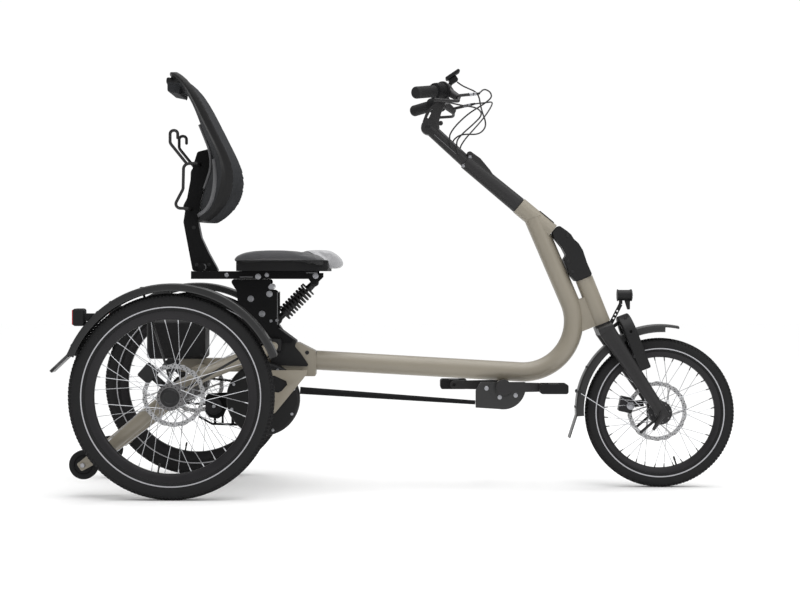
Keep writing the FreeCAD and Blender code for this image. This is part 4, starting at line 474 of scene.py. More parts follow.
def evened(piece, voxel, steps):
    """Remesh a shell to small even faces and soften its edges."""
    remesh = piece.modifiers.new("even", "REMESH")
    remesh.mode, remesh.voxel_size = "VOXEL", voxel
    applied(piece)
    smooth = piece.modifiers.new("soft", "SMOOTH")
    smooth.factor, smooth.iterations = 0.5, steps
    applied(piece)


def paint_faces(piece, looks, choose):
    """Give each face of a soft piece the look that its place asks for."""
    for look in looks[len(piece.data.materials):]:
        piece.data.materials.append(LOOKS[look])
    for face in piece.data.polygons:
        face.use_smooth = True
        face.material_index = choose(face)


# Stage

class TRIKE_OT_stage(bpy.types.Operator):
    """Floor, light, backdrop colour and the photograph's camera"""
    bl_idname = "trike.stage"
    bl_label = "Stage, light and camera"

    def execute(self, context):
        tone = settings()[1].floor_tone
        scene = context.scene

        def place(name, data):
            made = bpy.data.objects.new(name, data)
            scene.collection.objects.link(made)
            return made

        camera = place("photo_camera", bpy.data.cameras.new("photo_camera"))
        camera.location = (-0.018, -5.78, 0.706)
        camera.rotation_euler = (math.radians(90), 0, 0)
        camera.data.lens, camera.data.sensor_width = 77.4, 36
        camera.data.shift_x, camera.data.shift_y = 0.003, -0.0294
        scene.camera = camera
        bm = bmesh.new()
        bmesh.ops.create_grid(bm, x_segments=2, y_segments=2, size=20)
        mesh = bpy.data.meshes.new("pale_floor")
        bm.to_mesh(mesh)
        bm.free()
        floor = place("pale_floor", mesh)
        # studio floor: matt white vinyl with a trace of unevenness
        mesh.materials.append(surface("white_studio_vinyl", (tone, tone, tone), (0.85, 0.95), 800, 10, 0.02,
                                      0.004))
        scene.world = bpy.data.worlds.new("studio")
        scene.world.use_nodes = True
        tree = scene.world.node_tree
        tree.nodes.clear()
        path = add_node(tree, "ShaderNodeLightPath").outputs
        seen = add_node(tree, "ShaderNodeMath", {0: path["Is Camera Ray"], 1: path["Is Transmission Ray"]},
                        operation="MAXIMUM").outputs[0]
        soft, white = (add_node(tree, "ShaderNodeBackground", {"Color": (1, 1, 1, 1), "Strength": strength})
                       .outputs[0] for strength in (0.55, 1.02))
        both = add_node(tree, "ShaderNodeMixShader", {0: seen, 1: soft, 2: white}).outputs[0]
        add_node(tree, "ShaderNodeOutputWorld", {"Surface": both})
        for name, spot, aim, power, size in (
                ("top_softbox", (0.1, 0.2, 3.6), (0, 0, 0.4), 45, 3.0),
                ("front_softbox", (2.6, -4.6, 2.4), (0.1, 0, 0.6), 30, 2.4)):
            light = bpy.data.lights.new(name, "AREA")
            light.energy, light.size = power, size
            lamp = place(name, light)
            lamp.location = spot
            lamp.rotation_euler = (Vector(aim) - Vector(spot)).to_track_quat("-Z", "Y").to_euler()
        sun = bpy.data.lights.new("overhead_sky", "SUN")
        sun.energy, sun.angle = 1.7, math.radians(75)
        place("overhead_sky", sun).rotation_euler = (math.radians(12), math.radians(8), 0)
        scene.view_settings.view_transform = "Standard"
        return {"FINISHED"}


# Control cables

BRAKE_RIGHT = (
    (0.2377, -0.1742, 1.3013), (0.2487, -0.1664, 1.3032), (0.2641, -0.145, 1.321), (0.2851, -0.122, 1.315),
    (0.2931, -0.1, 1.303), (0.2891, -0.084, 1.294), (0.2661, -0.066, 1.277), (0.2241, -0.05, 1.253),
    (0.1921, -0.04, 1.226), (0.1671, -0.032, 1.199), (0.1511, -0.027, 1.17), (0.1631, -0.0243, 1.135))
BRAKE_LEFT = (
    (0.2377, 0.1742, 1.3013), (0.2487, 0.1664, 1.3032), (0.2881, 0.146, 1.305), (0.3081, 0.124, 1.306),
    (0.3031, 0.098, 1.288), (0.2791, 0.075, 1.25), (0.2381, 0.05, 1.202), (0.2101, 0.036, 1.171),
    (0.1881, 0.027, 1.135), (0.1931, 0.0243, 1.105))
GEAR = (
    (0.1161, -0.2216, 1.2765), (0.1851, -0.19, 1.262), (0.2251, -0.16, 1.261), (0.2501, -0.125, 1.256),
    (0.2621, -0.1, 1.239), (0.2331, -0.07, 1.211), (0.1941, -0.042, 1.179), (0.1741, -0.029, 1.151),
    (0.1861, -0.0243, 1.115))
DISPLAY = (
    (0.1825, 0.0, 1.3593), (0.1971, -0.007, 1.347), (0.2201, -0.021, 1.335), (0.2421, -0.032, 1.324),
    (0.2541, -0.036, 1.307), (0.2581, -0.036, 1.281), (0.2651, -0.034, 1.253), (0.2761, -0.03, 1.225),
    (0.2761, -0.024, 1.205), (0.2621, -0.017, 1.188), (0.2421, -0.008, 1.182), (0.2131, 0.004, 1.185),
    (0.1861, 0.016, 1.181), (0.1621, 0.026, 1.157), (0.1721, 0.0243, 1.127))
CABLES = (("brake_cable_right", BRAKE_RIGHT, 0.353), ("brake_cable_left", BRAKE_LEFT, 0.3509),
          ("gear_cable", GEAR, 0.3797), ("display_cable", DISPLAY, 0.376))


class TRIKE_OT_cables(bpy.types.Operator):
    """Brake, gear and display cables from the bar to the riser"""
    bl_idname = "trike.cables"
    bl_label = "Control cables"

    def execute(self, context):
        sizes = settings()[1]
        for name, points, length in CABLES:
            line = tube(name, points, sizes.cable_width / 2)
            dress(line, "handlebar", ["cable"], ("control_cables",))
        return {"FINISHED"}


# Tyres and wheels

# name, nodes, hub, side of the disc's outer face, angle of the valve,
# radii of tread, rim edge, rim well and stripe
WHEELS = (
    ("front", "front_%s", FRONT_HUB, 1, -72, 250, 203, 185, 214.5),
    ("rear_right", "rear_%s_right", REAR_HUB - Y * HALF_TRACK, -1, -100, 326.5, 270, 243.5, 283),
    ("rear_left", "rear_%s_left", REAR_HUB + Y * HALF_TRACK, 1, -100, 326.5, 270, 243.5, 283),
)
TYRE_HALF, SHOULDER = 22.8, 18.2
# share of the tyre's height and of its half width
TYRE_SIDE = ((0.34, 0.96), (0.52, 1.0), (0.7, 0.96), (0.8, 0.87), (0.86, 0.8), (0.93, 0.6), (0.98, 0.32),
             (1.0, 0.0))
# tread rows: share of the half width, width, length, lean, drop as a share of the height, tilt
TREAD = ((0.0, 5.2, 9.2, 0, 0.0, 0), (0.3, 4.8, 7.8, 18, 0.022, 16), (0.58, 4.6, 7.2, 26, 0.066, 30),
         (0.82, 5.0, 5.8, 32, 0.145, 48))
BLOCK_PITCH = 12.5
REAR_SHELL = (
    (0, -116), (9.8, -116), (9.8, -61.2), (22, -61.2), (23.8, -59), (23.8, -37.5), (30, -36.8), (41, -36.5),
    (41.8, -35.2), (41.8, -32.2), (41, -31), (30, -29), (27, -26), (26.2, 0), (27, 24), (32, 28.5), (41, 31),
    (41.8, 32.5), (41.8, 35.6), (40.5, 37.2), (36, 38.5), (30, 39.2))
REAR_CAP = ((31, 39), (27.5, 40.5), (26.8, 42.5), (26.2, 43.2), (24.5, 44.5), (20, 44.8), (18.5, 43.8),
            (9, 43.6), (0, 43.6))
FRONT_SHELL = (
    (6.8, -38), (13.5, -38), (14.5, -37.2), (14.5, -33.5), (36, -32.5), (38.5, -31), (39.5, -28.5),
    (39.5, -20.5), (37, -18.5), (34.5, -17.5), (33.5, 0), (34.5, 17.5), (37, 18.5), (39.5, 20.5),
    (39.5, 27.5), (38.5, 29.5), (30, 32), (17.8, 36), (17.2, 44.5), (20.5, 46), (20.5, 48), (14.5, 49),
    (6.8, 49))


class TRIKE_OT_tyres(bpy.types.Operator):
    """Tyres with a bead, a reflective stripe and a block tread"""
    bl_idname = "trike.tyres"
    bl_label = "Tyres"

    def execute(self, context):
        sizes = settings()[1]
        rise, band = sizes.tread_height / MM, sizes.stripe_width / 2 / MM
        for name, nodes, hub, flank, valve, outer, bead, neck, stripe in WHEELS:
            bm = bmesh.new()
            top = outer - rise
            high = top - bead
            side = [(bead, 12.5), (bead + 2, 14.8), (bead + high * 0.16, SHOULDER)]
            side += [(bead + high * share, TYRE_HALF * wide) for share, wide in TYRE_SIDE]
            lathe(bm, mirrored(side), hub, Y, 144, X)
            paint(bm, 0)
            share = ((stripe - bead) / high - 0.16) / 0.18
            wide = SHOULDER + (TYRE_HALF * 0.96 - SHOULDER) * share + 0.3
            for way in WAYS:
                lathe(bm, [(stripe - band, way * (wide - 1.2)), (stripe - band, way * wide),
                           (stripe + band, way * (wide + 0.6)), (stripe + band, way * (wide - 0.8))],
                      hub, Y, 144, X)
                paint(bm, 1)
            count = round(outer * math.tau / BLOCK_PITCH)
            blocks = bmesh.new()
            for index, (share, wide, long, lean, drop, tilt) in enumerate(TREAD):
                for way in WAYS if share else (1,):
                    place = Vector((3 * (index % 2), TYRE_HALF * share * way,
                                    top + rise * 0.15 - high * drop))
                    turn = Matrix.Rotation(math.radians(tilt * way), 4, "X")
                    turn = turn @ Matrix.Rotation(math.radians(lean * way), 4, "Z")
                    box(blocks, hub + place * MM, (long, wide, rise * 1.6), turn)
            bmesh.ops.spin(blocks, geom=blocks.verts[:] + blocks.edges[:] + blocks.faces[:], cent=hub, axis=Y,
                           angle=math.tau * (count - 1) / count, steps=count - 1, use_duplicate=True)
            mesh = bpy.data.meshes.new("blocks")
            blocks.to_mesh(mesh)
            blocks.free()
            bm.from_mesh(mesh)
            bpy.data.meshes.remove(mesh)
            paint(bm, 0)
            stand_in(name + "_tyre_treaded", bm, nodes % "tyre", ["tyre", "stripe"], 40, 1e-5)
        return {"FINISHED"}


def brake_disc(bm, centre):
    """Drilled brake disc: a band with a wavy edge on thin curved arms; its holes are dark pins of painted
    shade.
    """
    radius, band, core, half = 101.5, 15.5, 27.0, 0.95
    arms, waves, sweep, holes = 6, 18, math.degrees(0.62), 30
    inner = radius - band
    old = set(bm.verts)
    lathe(bm, mirrored([(inner, -half), (radius - 0.5, -half), (radius, -half * 0.5)], True), centre, Y,
          180, X)
    for vert in set(bm.verts) - old:
        away = vert.co - centre
        if math.hypot(away.x, away.z) > (radius - 1) * MM:
            dip = 1 - 0.012 * (1 + math.cos(waves * math.atan2(away.z, away.x)))
            vert.co = centre + Vector((away.x * dip, away.y, away.z * dip))
    lathe(bm, mirrored([(core - 8, -half), (core, -half)], True), centre, Y, 48, X)
    for arm in range(arms):
        rows = []
        for share in (step / 10 for step in range(11)):
            reach = inner + 1.5 + (core - inner - 3) * share
            angle = arm * 360 / arms - sweep * share * share
            swing = math.degrees((2.6 + 2.2 * abs(2 * share - 1) ** 4) / reach)
            rows.append([bm.verts.new(centre + (polar(angle + way * swing) * reach + Y * half * 0.9) * MM)
                         for way in WAYS])
        thicken(bm, [bm.faces.new((a[0], a[1], b[1], b[0])) for a, b in zip(rows, rows[1:])], -half * 1.8)
    paint(bm, 3)
    # dark pins through the band stand for the drilled holes: painted shade
    for row, share in enumerate((0.22, 0.5, 0.78)):
        for index in range(holes):
            out = polar((index + row / 3) * 360 / holes)
            pin(bm, centre + out * ((inner + band * share) * MM), Y, -half - 0.1, half + 0.1, 2, None, 10)
    paint(bm, 4)


class TRIKE_OT_wheels(bpy.types.Operator):
    """Rims, laced spokes with nipples, hubs, brake discs and valves"""
    bl_idname = "trike.wheels"
    bl_label = "Wheels"

    def execute(self, context):
        wire = settings()[1].spoke_width / 2 / MM
        for name, nodes, hub, flank, valve, outer, bead, neck, stripe in WHEELS:
            rear = name != "front"
            away = Y * flank
            bm = bmesh.new()
            lathe(bm, mirrored([(neck, -5), (neck + 1.5, -8.5), (neck + 9, -13.2), (bead + 1, -14.2),
                                (bead + 1.5, -11.8), (bead - 6, -9.5)], True), hub, Y, 120, X)
            paint(bm, 0)
            flange, spread, cross = (38.5, 34, 58) if rear else (37.5, 24, 50)
            spokes = []
            for index in range(36):
                out = Y * WAYS[index % 2]
                lead = WAYS[index // 2 % 2]
                angle = index * 10 + 5
                root = hub + (polar(angle + lead * cross) * flange + out * (spread + lead * 2)) * MM
                end = hub + (polar(angle) * (neck + 0.5) + out * 2.2) * MM
                rod(bm, root, end, wire, None, 6, False)
                pin(bm, root, out * lead, -3.5, 1, wire * 1.9, wire * 1.3, 6)
                spokes.append((end, (root - end).normalized()))
            paint(bm, 1)
            for end, back in spokes:
                pin(bm, end, back, -1, 12.5, 2.1, 1.7, 8)
            paint(bm, 1 if rear else 4)
            if rear:
                lathe(bm, REAR_SHELL, hub, away, 64, X)
                paint(bm, 2)
                lathe(bm, REAR_CAP, hub, away, 48, X)
                for index in range(18):
                    pin(bm, hub + polar(index * 20) * 0.0362, away, 36.8, 39, 2.6, 2.1, 10)
                paint(bm, 4)
                middle = hub - away * 0.058
            else:
                lathe(bm, FRONT_SHELL, hub, Y, 56, X)
                paint(bm, 4)
                for index in range(8):
                    bolt(bm, hub + (polar(index * 45 + 12) * 31 - Y * 32.5) * MM, -Y, 3, 2.2)
                lathe(bm, [(18.5, -33.3), (18.5, -34.5), (21.5, -34.5), (21.5, -33.1)], hub, Y, 40, X)
                paint(bm, 2)
                middle = hub + Y * 0.046
            brake_disc(bm, middle)
            lathe(bm, mirrored([(0, -3), (21, -3), (22, -1.6)]), middle, Y, 36, X)
            for index in range(6):
                for way in WAYS:
                    head = middle + (polar(index * 60 + 15) * 16.8 + Y * way * 3) * MM
                    bolt(bm, head, Y * way, 3.2, 1.8, False)
            pin(bm, hub, polar(valve), neck + 2, neck - 24, 3, 2.8, 10)
            pin(bm, hub, polar(valve), neck - 16, neck - 29, 3.8, 3.2, 10)
            paint(bm, 4)
            stand_in(name + "_wheel_laced", bm, nodes % "wheel", ["rim", "wire", "cast", "disc", "dark"], 32)
        return {"FINISHED"}


# Rounded copies of the moulded and machined nodes: radius of their edges

ROUNDED = {
    "steering_cover": 3.5, "frame_fairing": 3.0, "battery": 2.5, "ring_lock": 1.6, "seat_plates": 0.8,
    "seat_pan": 1.5, "backrest_post": 2.0, "fork": 1.2, "riser": 1.2, "stem": 1.6, "pedal_right": 1.2,
    "pedal_left": 1.2, "cranks": 1.2, "roller_forks": 0.8, "display": 0.8, "headlamp": 0.6,
    "front_caliper": 0.8, "rear_calipers": 0.8, "gear_unit": 1.0, "brake_levers": 0.9, "seat_rail": 0.8,
    "tail_lamps": 1.0,
}


class TRIKE_OT_rounded(bpy.types.Operator):
    """Moulded and machined pieces with rounded edges, which give them their highlights; the backrest post's
    edge faces also get a painted highlight
    """
    bl_idname = "trike.rounded"
    bl_label = "Rounded pieces"

    def execute(self, context):
        for node, width in ROUNDED.items():
            bm = node_copy(node)
            looks = [NODE_LOOK[node]]
            # the post's narrow front and back faces take the pale strip: painted highlight along its edges
            if node == "backrest_post":
                looks.append("strip")
                for face in bm.faces:
                    face.material_index = int(abs(face.normal.x) > 0.6)
            bevel = stand_in(node + "_rounded", bm, node, looks, 40).modifiers.new("rounded_edges", "BEVEL")
            bevel.width, bevel.segments = width * MM, 2
            bevel.limit_method, bevel.angle_limit = "ANGLE", math.radians(40)
        return {"FINISHED"}


# node, centre, radius, depth of the skirt, half width, angles of the ends, angles of the stays' screws
FENDERS = [("rear_fender_" + name, REAR_ARCH + Y * side * HALF_TRACK, 355, 22, 32, 20.8, 158.4,
            (30, 106, 123.4, 131.8, 153.2)) for name, side in SIDES]
FENDERS.append(("front_fender", FRONT_ARCH, 288, 24, 31, 87.8, 184.0, (150, 178)))


class TRIKE_OT_fenders(bpy.types.Operator):
    """Fenders with a rounded crown, beaded edges and the screws of their stays"""
    bl_idname = "trike.fenders"
    bl_label = "Fenders"

    def execute(self, context):
        for node, centre, radius, skirt, half, start, end, screws in FENDERS:
            bm = node_copy(node)

            def at_corner(vert):
                away = (vert.co - centre) / MM
                return abs(math.hypot(away.x, away.z) - radius) < 1.2 and abs(abs(away.y) - half) < 0.8

            edges = [edge for edge in bm.edges if all(at_corner(vert) for vert in edge.verts)]
            bmesh.ops.bevel(bm, geom=edges, offset=6.5 * MM, segments=4, profile=0.5, affect="EDGES",
                            material=-1)
            for way in WAYS:
                curve_mesh(bm, [centre + (polar(start + (end - start) * step / 39) * (radius - skirt)
                                          + Y * way * (half - 1.2)) * MM for step in range(40)], 2.1)
            paint(bm, 0)
            for out in map(polar, screws):
                for way in (-0.5, 0.5):
                    bolt(bm, centre + (out * (radius - 0.5) + Y * half * way) * MM, out, 4.2, 2.6)
            paint(bm, 1)
            stand_in(node + "_moulded", bm, node, ["fender", "dark"])
        return {"FINISHED"}


# Seat

def swell(piece, pressure, cap, held):
    """Fill a closed form with air as cloth; no point moves further than the cap."""
    start = [vert.co.copy() for vert in piece.data.vertices]
    group = piece.vertex_groups.new(name="held")
    group.add([index for index, place in enumerate(start) if held(place)], 1.0, "REPLACE")
    cloth = piece.modifiers.new("pressure", "CLOTH")
    cloth.settings.use_pressure = True
    cloth.settings.uniform_pressure_force = pressure
    cloth.settings.vertex_group_mass = "held"
    cloth.settings.tension_stiffness = cloth.settings.compression_stiffness = 12
    cloth.settings.effector_weights.gravity = 0
    cloth.point_cache.frame_start, cloth.point_cache.frame_end = 1, 20
    for step in range(1, 21):
        bpy.context.scene.frame_set(step)
    applied(piece)
    for vert, place in zip(piece.data.vertices, start):
        moved = vert.co - place
        if moved.length > cap:
            vert.co = place + moved.normalized() * cap
    bpy.context.scene.frame_set(1)


def nose_edge(x):
    """Half the width of the light grey middle of the seat, which widens to the nose."""
    return 0.03 + 0.105 * min(1.0, max(0.0, (x + 0.45) / 0.22)) ** 1.2


class TRIKE_OT_cushion(bpy.types.Operator):
    """Seat cushion: swollen cover with a light grey middle, seams, a piped edge and painted shade on the side
    below it
    """
    bl_idname = "trike.cushion"
    bl_label = "Seat cushion"

    def execute(self, context):
        sizes = settings()[1]
        # the second height is the top of the cushion's side band that is painted dark as shade
        held_below, painted_shade_top, seam = 0.748, 0.757, 0.006
        bm = node_copy("seat_cushion")
        for vert in bm.verts:
            away = vert.co - CUSHION_MIDDLE
            vert.co = CUSHION_MIDDLE + Vector((away.x * 0.985, away.y * 0.975, away.z * 0.93))
        piece = stand_in("seat_cushion_swollen", bm, "seat_cushion", ["cloth", "grey"], 180)
        evened(piece, 0.005, 9)
        swell(piece, sizes.cushion_pressure, sizes.cushion_cap, lambda place: place.z < held_below)
        for vert in piece.data.vertices:
            aside = abs(abs(vert.co.y) - nose_edge(vert.co.x))
            if vert.co.x > -0.47 and aside < seam and vert.co.z > 0.745:
                vert.co.z -= 0.0025 * (1 - aside / seam)
        finer = piece.modifiers.new("finer", "SUBSURF")
        finer.levels = finer.render_levels = 1
        applied(piece)

        def look_of(face):
            at = face.center
            middle = at.x > -0.455 and abs(at.y) < nose_edge(at.x)
            if middle or at.x > -0.244 or at.x > -0.3 and at.z < 0.738:
                return 1
            # faces of the side below the piping take the dark braid as painted shade
            return 2 if at.z < painted_shade_top else 0

        paint_faces(piece, ("cloth", "grey", "piping"), look_of)
        tree = surface_tree(piece)
        seams = bmesh.new()
        places = [-0.452 + 0.232 * step / 23 for step in range(24)]
        for way in WAYS:
            curve_mesh(seams, traced(tree, [(Vector((x, way * nose_edge(x), 1.0)), -Z) for x in places]), 1.2)
        outs = [polar(34 + step * 292 / 71).xzy for step in range(72)]
        middle = Vector((-0.4, 0, CUSHION_MIDDLE.z))
        curve_mesh(seams, traced(tree, [(middle + out * 0.5, -out) for out in outs], 0.4), 1.8)
        finish_mesh("seat_cushion_seams", seams, "frame", ["piping"])
        return {"FINISHED"}


# (z, y) places of the bows behind the mesh
INNER_BOW = ((1.0, 0.05), (1.03, 0.062), (1.07, 0.07), (1.12, 0.074), (1.17, 0.072), (1.21, 0.064))
OUTER_BOW = ((1.09, 0.112), (1.06, 0.128), (1.02, 0.14), (0.98, 0.141), (0.945, 0.13), (0.92, 0.105),
             (0.912, 0.06))


class TRIKE_OT_backrest(bpy.types.Operator):
    """Backrest: moulded rim, sunk mesh panels and the lumbar bows behind"""
    bl_idname = "trike.backrest"
    bl_label = "Backrest"

    def execute(self, context):
        piece = stand_in("backrest_shell", node_copy("backrest"), "backrest", ["plastic", "mesh"], 180)
        evened(piece, 0.003, 14)
        verts = piece.data.vertices
        step, band, slope, sink = 0.012, 0.028, 0.006, 0.0035
        wide, low, high = {}, {}, {}
        for x, y, z in (vert.co for vert in verts):
            for table, at, value in ((wide, z, abs(y)), (low, y, -z), (high, y, z)):
                key = round(at / step)
                table[key] = max(table.get(key, value), value)

        def rim(table, at):
            """Evened reach of the shell's edge in one direction."""
            key = at / step
            near = [(max(0.0, 2.5 - abs(key - index)), table[index])
                    for index in range(math.floor(key) - 2, math.floor(key) + 4) if index in table]
            return sum(w * v for w, v in near) / sum(w for w, v in near)

        def inside(place):
            """How far a place lies inside the rim of the shell, seen from the front."""
            return min((rim(wide, place.z) - abs(place.y)) * 1.35, place.z + rim(low, place.y),
                       (rim(high, place.y) - place.z) * 0.9)

        def front(normal, place):
            """Whether a face looks to the sitter."""
            return normal.x - math.copysign(0.5, place.y) * normal.y * min(1, abs(place.y) / 0.1) > 0.15

        moves = [Vector() if front(vert.normal, vert.co) else
                 vert.normal * -sink * min(1.0, max(0.0, (inside(vert.co) - band) / slope)) for vert in verts]
        for vert, move in zip(verts, moves):
            vert.co += move
        paint_faces(piece, ("plastic", "mesh"),
                    lambda face: int(front(face.normal, face.center) or inside(face.center) > band + 0.002))
        tree = surface_tree(piece)
        bows = bmesh.new()
        for way in WAYS:
            rays = [(Vector((BEHIND, way * y, z)), X) for z, y in INNER_BOW]
            curve_mesh(bows, traced(tree, rays, 4), 4.5, 3)
        outer = [(z, -y) for z, y in OUTER_BOW] + [(0.91, 0.0)] + list(reversed(OUTER_BOW))
        curve_mesh(bows, traced(tree, [(Vector((BEHIND, y, z)), X) for z, y in outer]), 8.5, 3)
        finish_mesh("backrest_lumbar_bows", bows, "frame", ["strip"])
        return {"FINISHED"}


class TRIKE_OT_shock(bpy.types.Operator):
    """Damper with its round coil spring, eyes, cups and pins"""
    bl_idname = "trike.shock"
    bl_label = "Seat damper"

    def execute(self, context):
        low, high = Vector((-0.42, 0, 0.56)), Vector((-0.2966, 0, 0.686))
        up = (high - low).normalized()
        out = up.cross(Y)
        full = (high - low).length / MM
        seat, cup, coil, turns, steps = full * 0.2, full * 0.8, 23.6, 8, 128
        bm = bmesh.new()
        lathe(bm, [(0, 6), (9.8, 8), (10.5, 10), (10.5, seat - 8), (26.2, seat - 7), (26.8, seat - 5),
                   (26.8, seat - 1), (17.8, seat), (16.8, full * 0.26), (11.8, full * 0.27),
                   (11.6, full * 0.5), (6.2, full * 0.51), (6, cup + 1), (26.2, cup + 1), (26.8, cup + 3),
                   (26.2, cup + 6), (12.5, cup + 7), (11.5, full - 6), (0, full - 4)], low, up, 40)
        paint(bm, 0)
        line = []
        for step in range(steps + 1):
            angle = step * turns * math.tau / steps
            rise = seat + 3 + (cup - seat - 6) * step / steps
            line.append(low + (up * rise + (out * math.cos(angle) + Y * math.sin(angle)) * coil) * MM)
        curve_mesh(bm, line, 3.9, 3)
        paint(bm, 1)
        for place in (low, high):
            lathe(bm, mirrored([(5, -13.5), (13, -13.5), (14, -12.5)]), place, Y, 32)
        paint(bm, 0)
        pin(bm, low, Y, -51.5, 51.5, 4.8, None, 20)
        paint(bm, 2)
        stand_in("seat_damper_coil", bm, "seat_shock", ["dark", "coat", "zinc"])
        return {"FINISHED"}


# Second drive

CHAIN_Y, CHAIN_PITCH = 0.014, 0.0127
DRIVE_REACH, HUB_REACH, TEETH = 0.04, 0.046, 22
DIFFERENTIAL = (
    (10, -195), (11.5, -193.5), (11.5, -112), (16, -110), (18.5, -104), (18.5, -99.5), (31, -98.5),
    (34, -95.5), (34, -60), (32.2, -58), (32.2, -52), (34, -50), (34, -14.5), (31, -11.5), (22, -11),
    (22, 30), (16, 34), (11.5, 36), (11.5, 193.5), (10, 195))
TENSIONER_PLATE = ((-524, 318), (-524, 286), (-590, 268), (-602, 240), (-622, 228), (-650, 232), (-664, 252),
                   (-664, 300), (-654, 313), (-600, 316))
# bent bar below the tensioner's wheel, hung on three tabs
CHAIN_GUIDE = (
    (-688, 233), (-642, 207), (-556, 204), (-556, 211), (-567, 213), (-571, 268), (-577, 268), (-577, 213),
    (-602, 213), (-603, 246), (-609, 246), (-610, 213), (-627, 214), (-629, 240), (-636, 240), (-636, 214),
    (-641, 214), (-685, 239))
TENSIONER_WHEEL = ((6, -4.5), (9.5, -5.5), (12, -4.2), (23.5, -3.2), (27, -4.5), (28.4, -3), (27, 0),
                   (28.4, 3), (27, 4.5), (23.5, 3.2), (6, 4.5))


def chain_places():
    """Evenly spaced places of the second chain's pins, round the drive's and the hub's sprocket."""
    run = DRIVE - REAR_HUB
    lean = math.acos((HUB_REACH - DRIVE_REACH) / run.length)
    base = math.atan2(run.z, run.x)
    stretch = math.sqrt(run.length ** 2 - (HUB_REACH - DRIVE_REACH) ** 2)
    round_drive, round_hub = 2 * lean * DRIVE_REACH, (math.tau - 2 * lean) * HUB_REACH
    total = round_drive + round_hub + 2 * stretch
    count = 2 * round(total / CHAIN_PITCH / 2)
    made = []
    for index in range(count):
        at = total * index / count
        if at < round_drive + stretch:
            centre, reach = DRIVE, DRIVE_REACH
            angle, along = base + lean - min(at, round_drive) / reach, max(0.0, at - round_drive)
        else:
            at -= round_drive + stretch
            centre, reach = REAR_HUB, HUB_REACH
            angle, along = base - lean - min(at, round_hub) / reach, max(0.0, at - round_hub)
        out = Vector((math.cos(angle), 0, math.sin(angle)))
        on = Vector((out.z, 0, -out.x))
        made.append(centre + out * reach + on * along + Y * CHAIN_Y)
    return made


class TRIKE_OT_second_drive(bpy.types.Operator):
    """Second chain with its links, the toothed sprocket, differential case, half shafts and tensioner"""
    bl_idname = "trike.second_drive"
    bl_label = "Second drive"

    def execute(self, context):
        bm = bmesh.new()
        pins = chain_places()
        for index, (here, there) in enumerate(zip(pins, pins[1:] + pins[:1])):
            run = there - here
            turn = Matrix.Rotation(-math.atan2(run.z, run.x), 4, "Y")
            for way in WAYS:
                side = Y * (way * (2.9 + 1.2 * (index % 2)) * MM)
                for end in (here, there):
                    pin(bm, end + side, Y, -0.5, 0.5, 4.2, None, 10)
                box(bm, (here + there) / 2 + side, (run.length / MM, 1, 5.8), turn)
            pin(bm, here, Y, -2.9, 2.9, 3.6, None, 10, False)
            pin(bm, here, Y, -4.9, 4.9, 1.7, None, 8)
        paint(bm, 0)
        centre, reach = REAR_HUB + Y * CHAIN_Y, HUB_REACH / MM
        lathe(bm, mirrored([(0, -1.4), (reach - 2.5, -1.4), (reach - 1.8, -0.56)]), centre, Y, 88, X)
        for index in range(TEETH):
            pin(bm, centre, polar(index * 360 / TEETH), reach - 4, reach + 4.2, 3.4, 1.2, 4)
        lathe(bm, DIFFERENTIAL, REAR_HUB, Y, 56, X)
        for index in range(8):
            bolt(bm, REAR_HUB + (polar(index * 45 + 10) * 27.5 - Y * 98.3) * MM, -Y, 3.2, 2.4)
        paint(bm, 1)
        stand_in("second_chain_links", bm, "second_drive", ["chain", "cast"], 32)
        bm = bmesh.new()
        wheel = Vector((-0.634, -0.008, 0.271))
        plate(bm, TENSIONER_PLATE, 0, 4, 0.8)
        plate(bm, CHAIN_GUIDE, 0.6, 3.4, 0.4)
        paint(bm, 2)
        lathe(bm, TENSIONER_WHEEL, wheel, Y, 48, X)
        paint(bm, 0)
        pin(bm, wheel, Y, -4, 8.5, 6)
        bolt(bm, wheel - Y * 0.005, -Y, 6.2, 4)
        paint(bm, 1)
        finish_mesh("chain_tensioner", bm, "frame", ["rim", "zinc", "plate"])
        return {"FINISHED"}


# Stays and trims

SHOCK_BRACKET = ((-318, 718), (-318, 700), (-304, 680), (-292, 680), (-268, 704), (-268, 718))
COVER_BRACKET = ((-318, 396), (-318, 384), (-329, 369), (-422, 256), (-432, 250), (-441, 256), (-446, 300),
                 (-441, 326), (-412, 322), (-402, 327), (-383, 348), (-386, 360), (-425, 378), (-455, 378),
                 (-455, 396))
BRACKET_BACK = ((-455, 392), (-455, 262), (-440, 262), (-440, 392))
# pale strips in the slots of seat rail and seat plates: place of the right one mirrored, size
STRIPS = (((-0.52, 0.0722, 0.7045), (44, 1.4, 4.2)), ((-0.303, 0.0722, 0.7185), (36, 1.4, 4)),
          ((-0.418, 0.0522, 0.6), (3.4, 1.4, 110)))


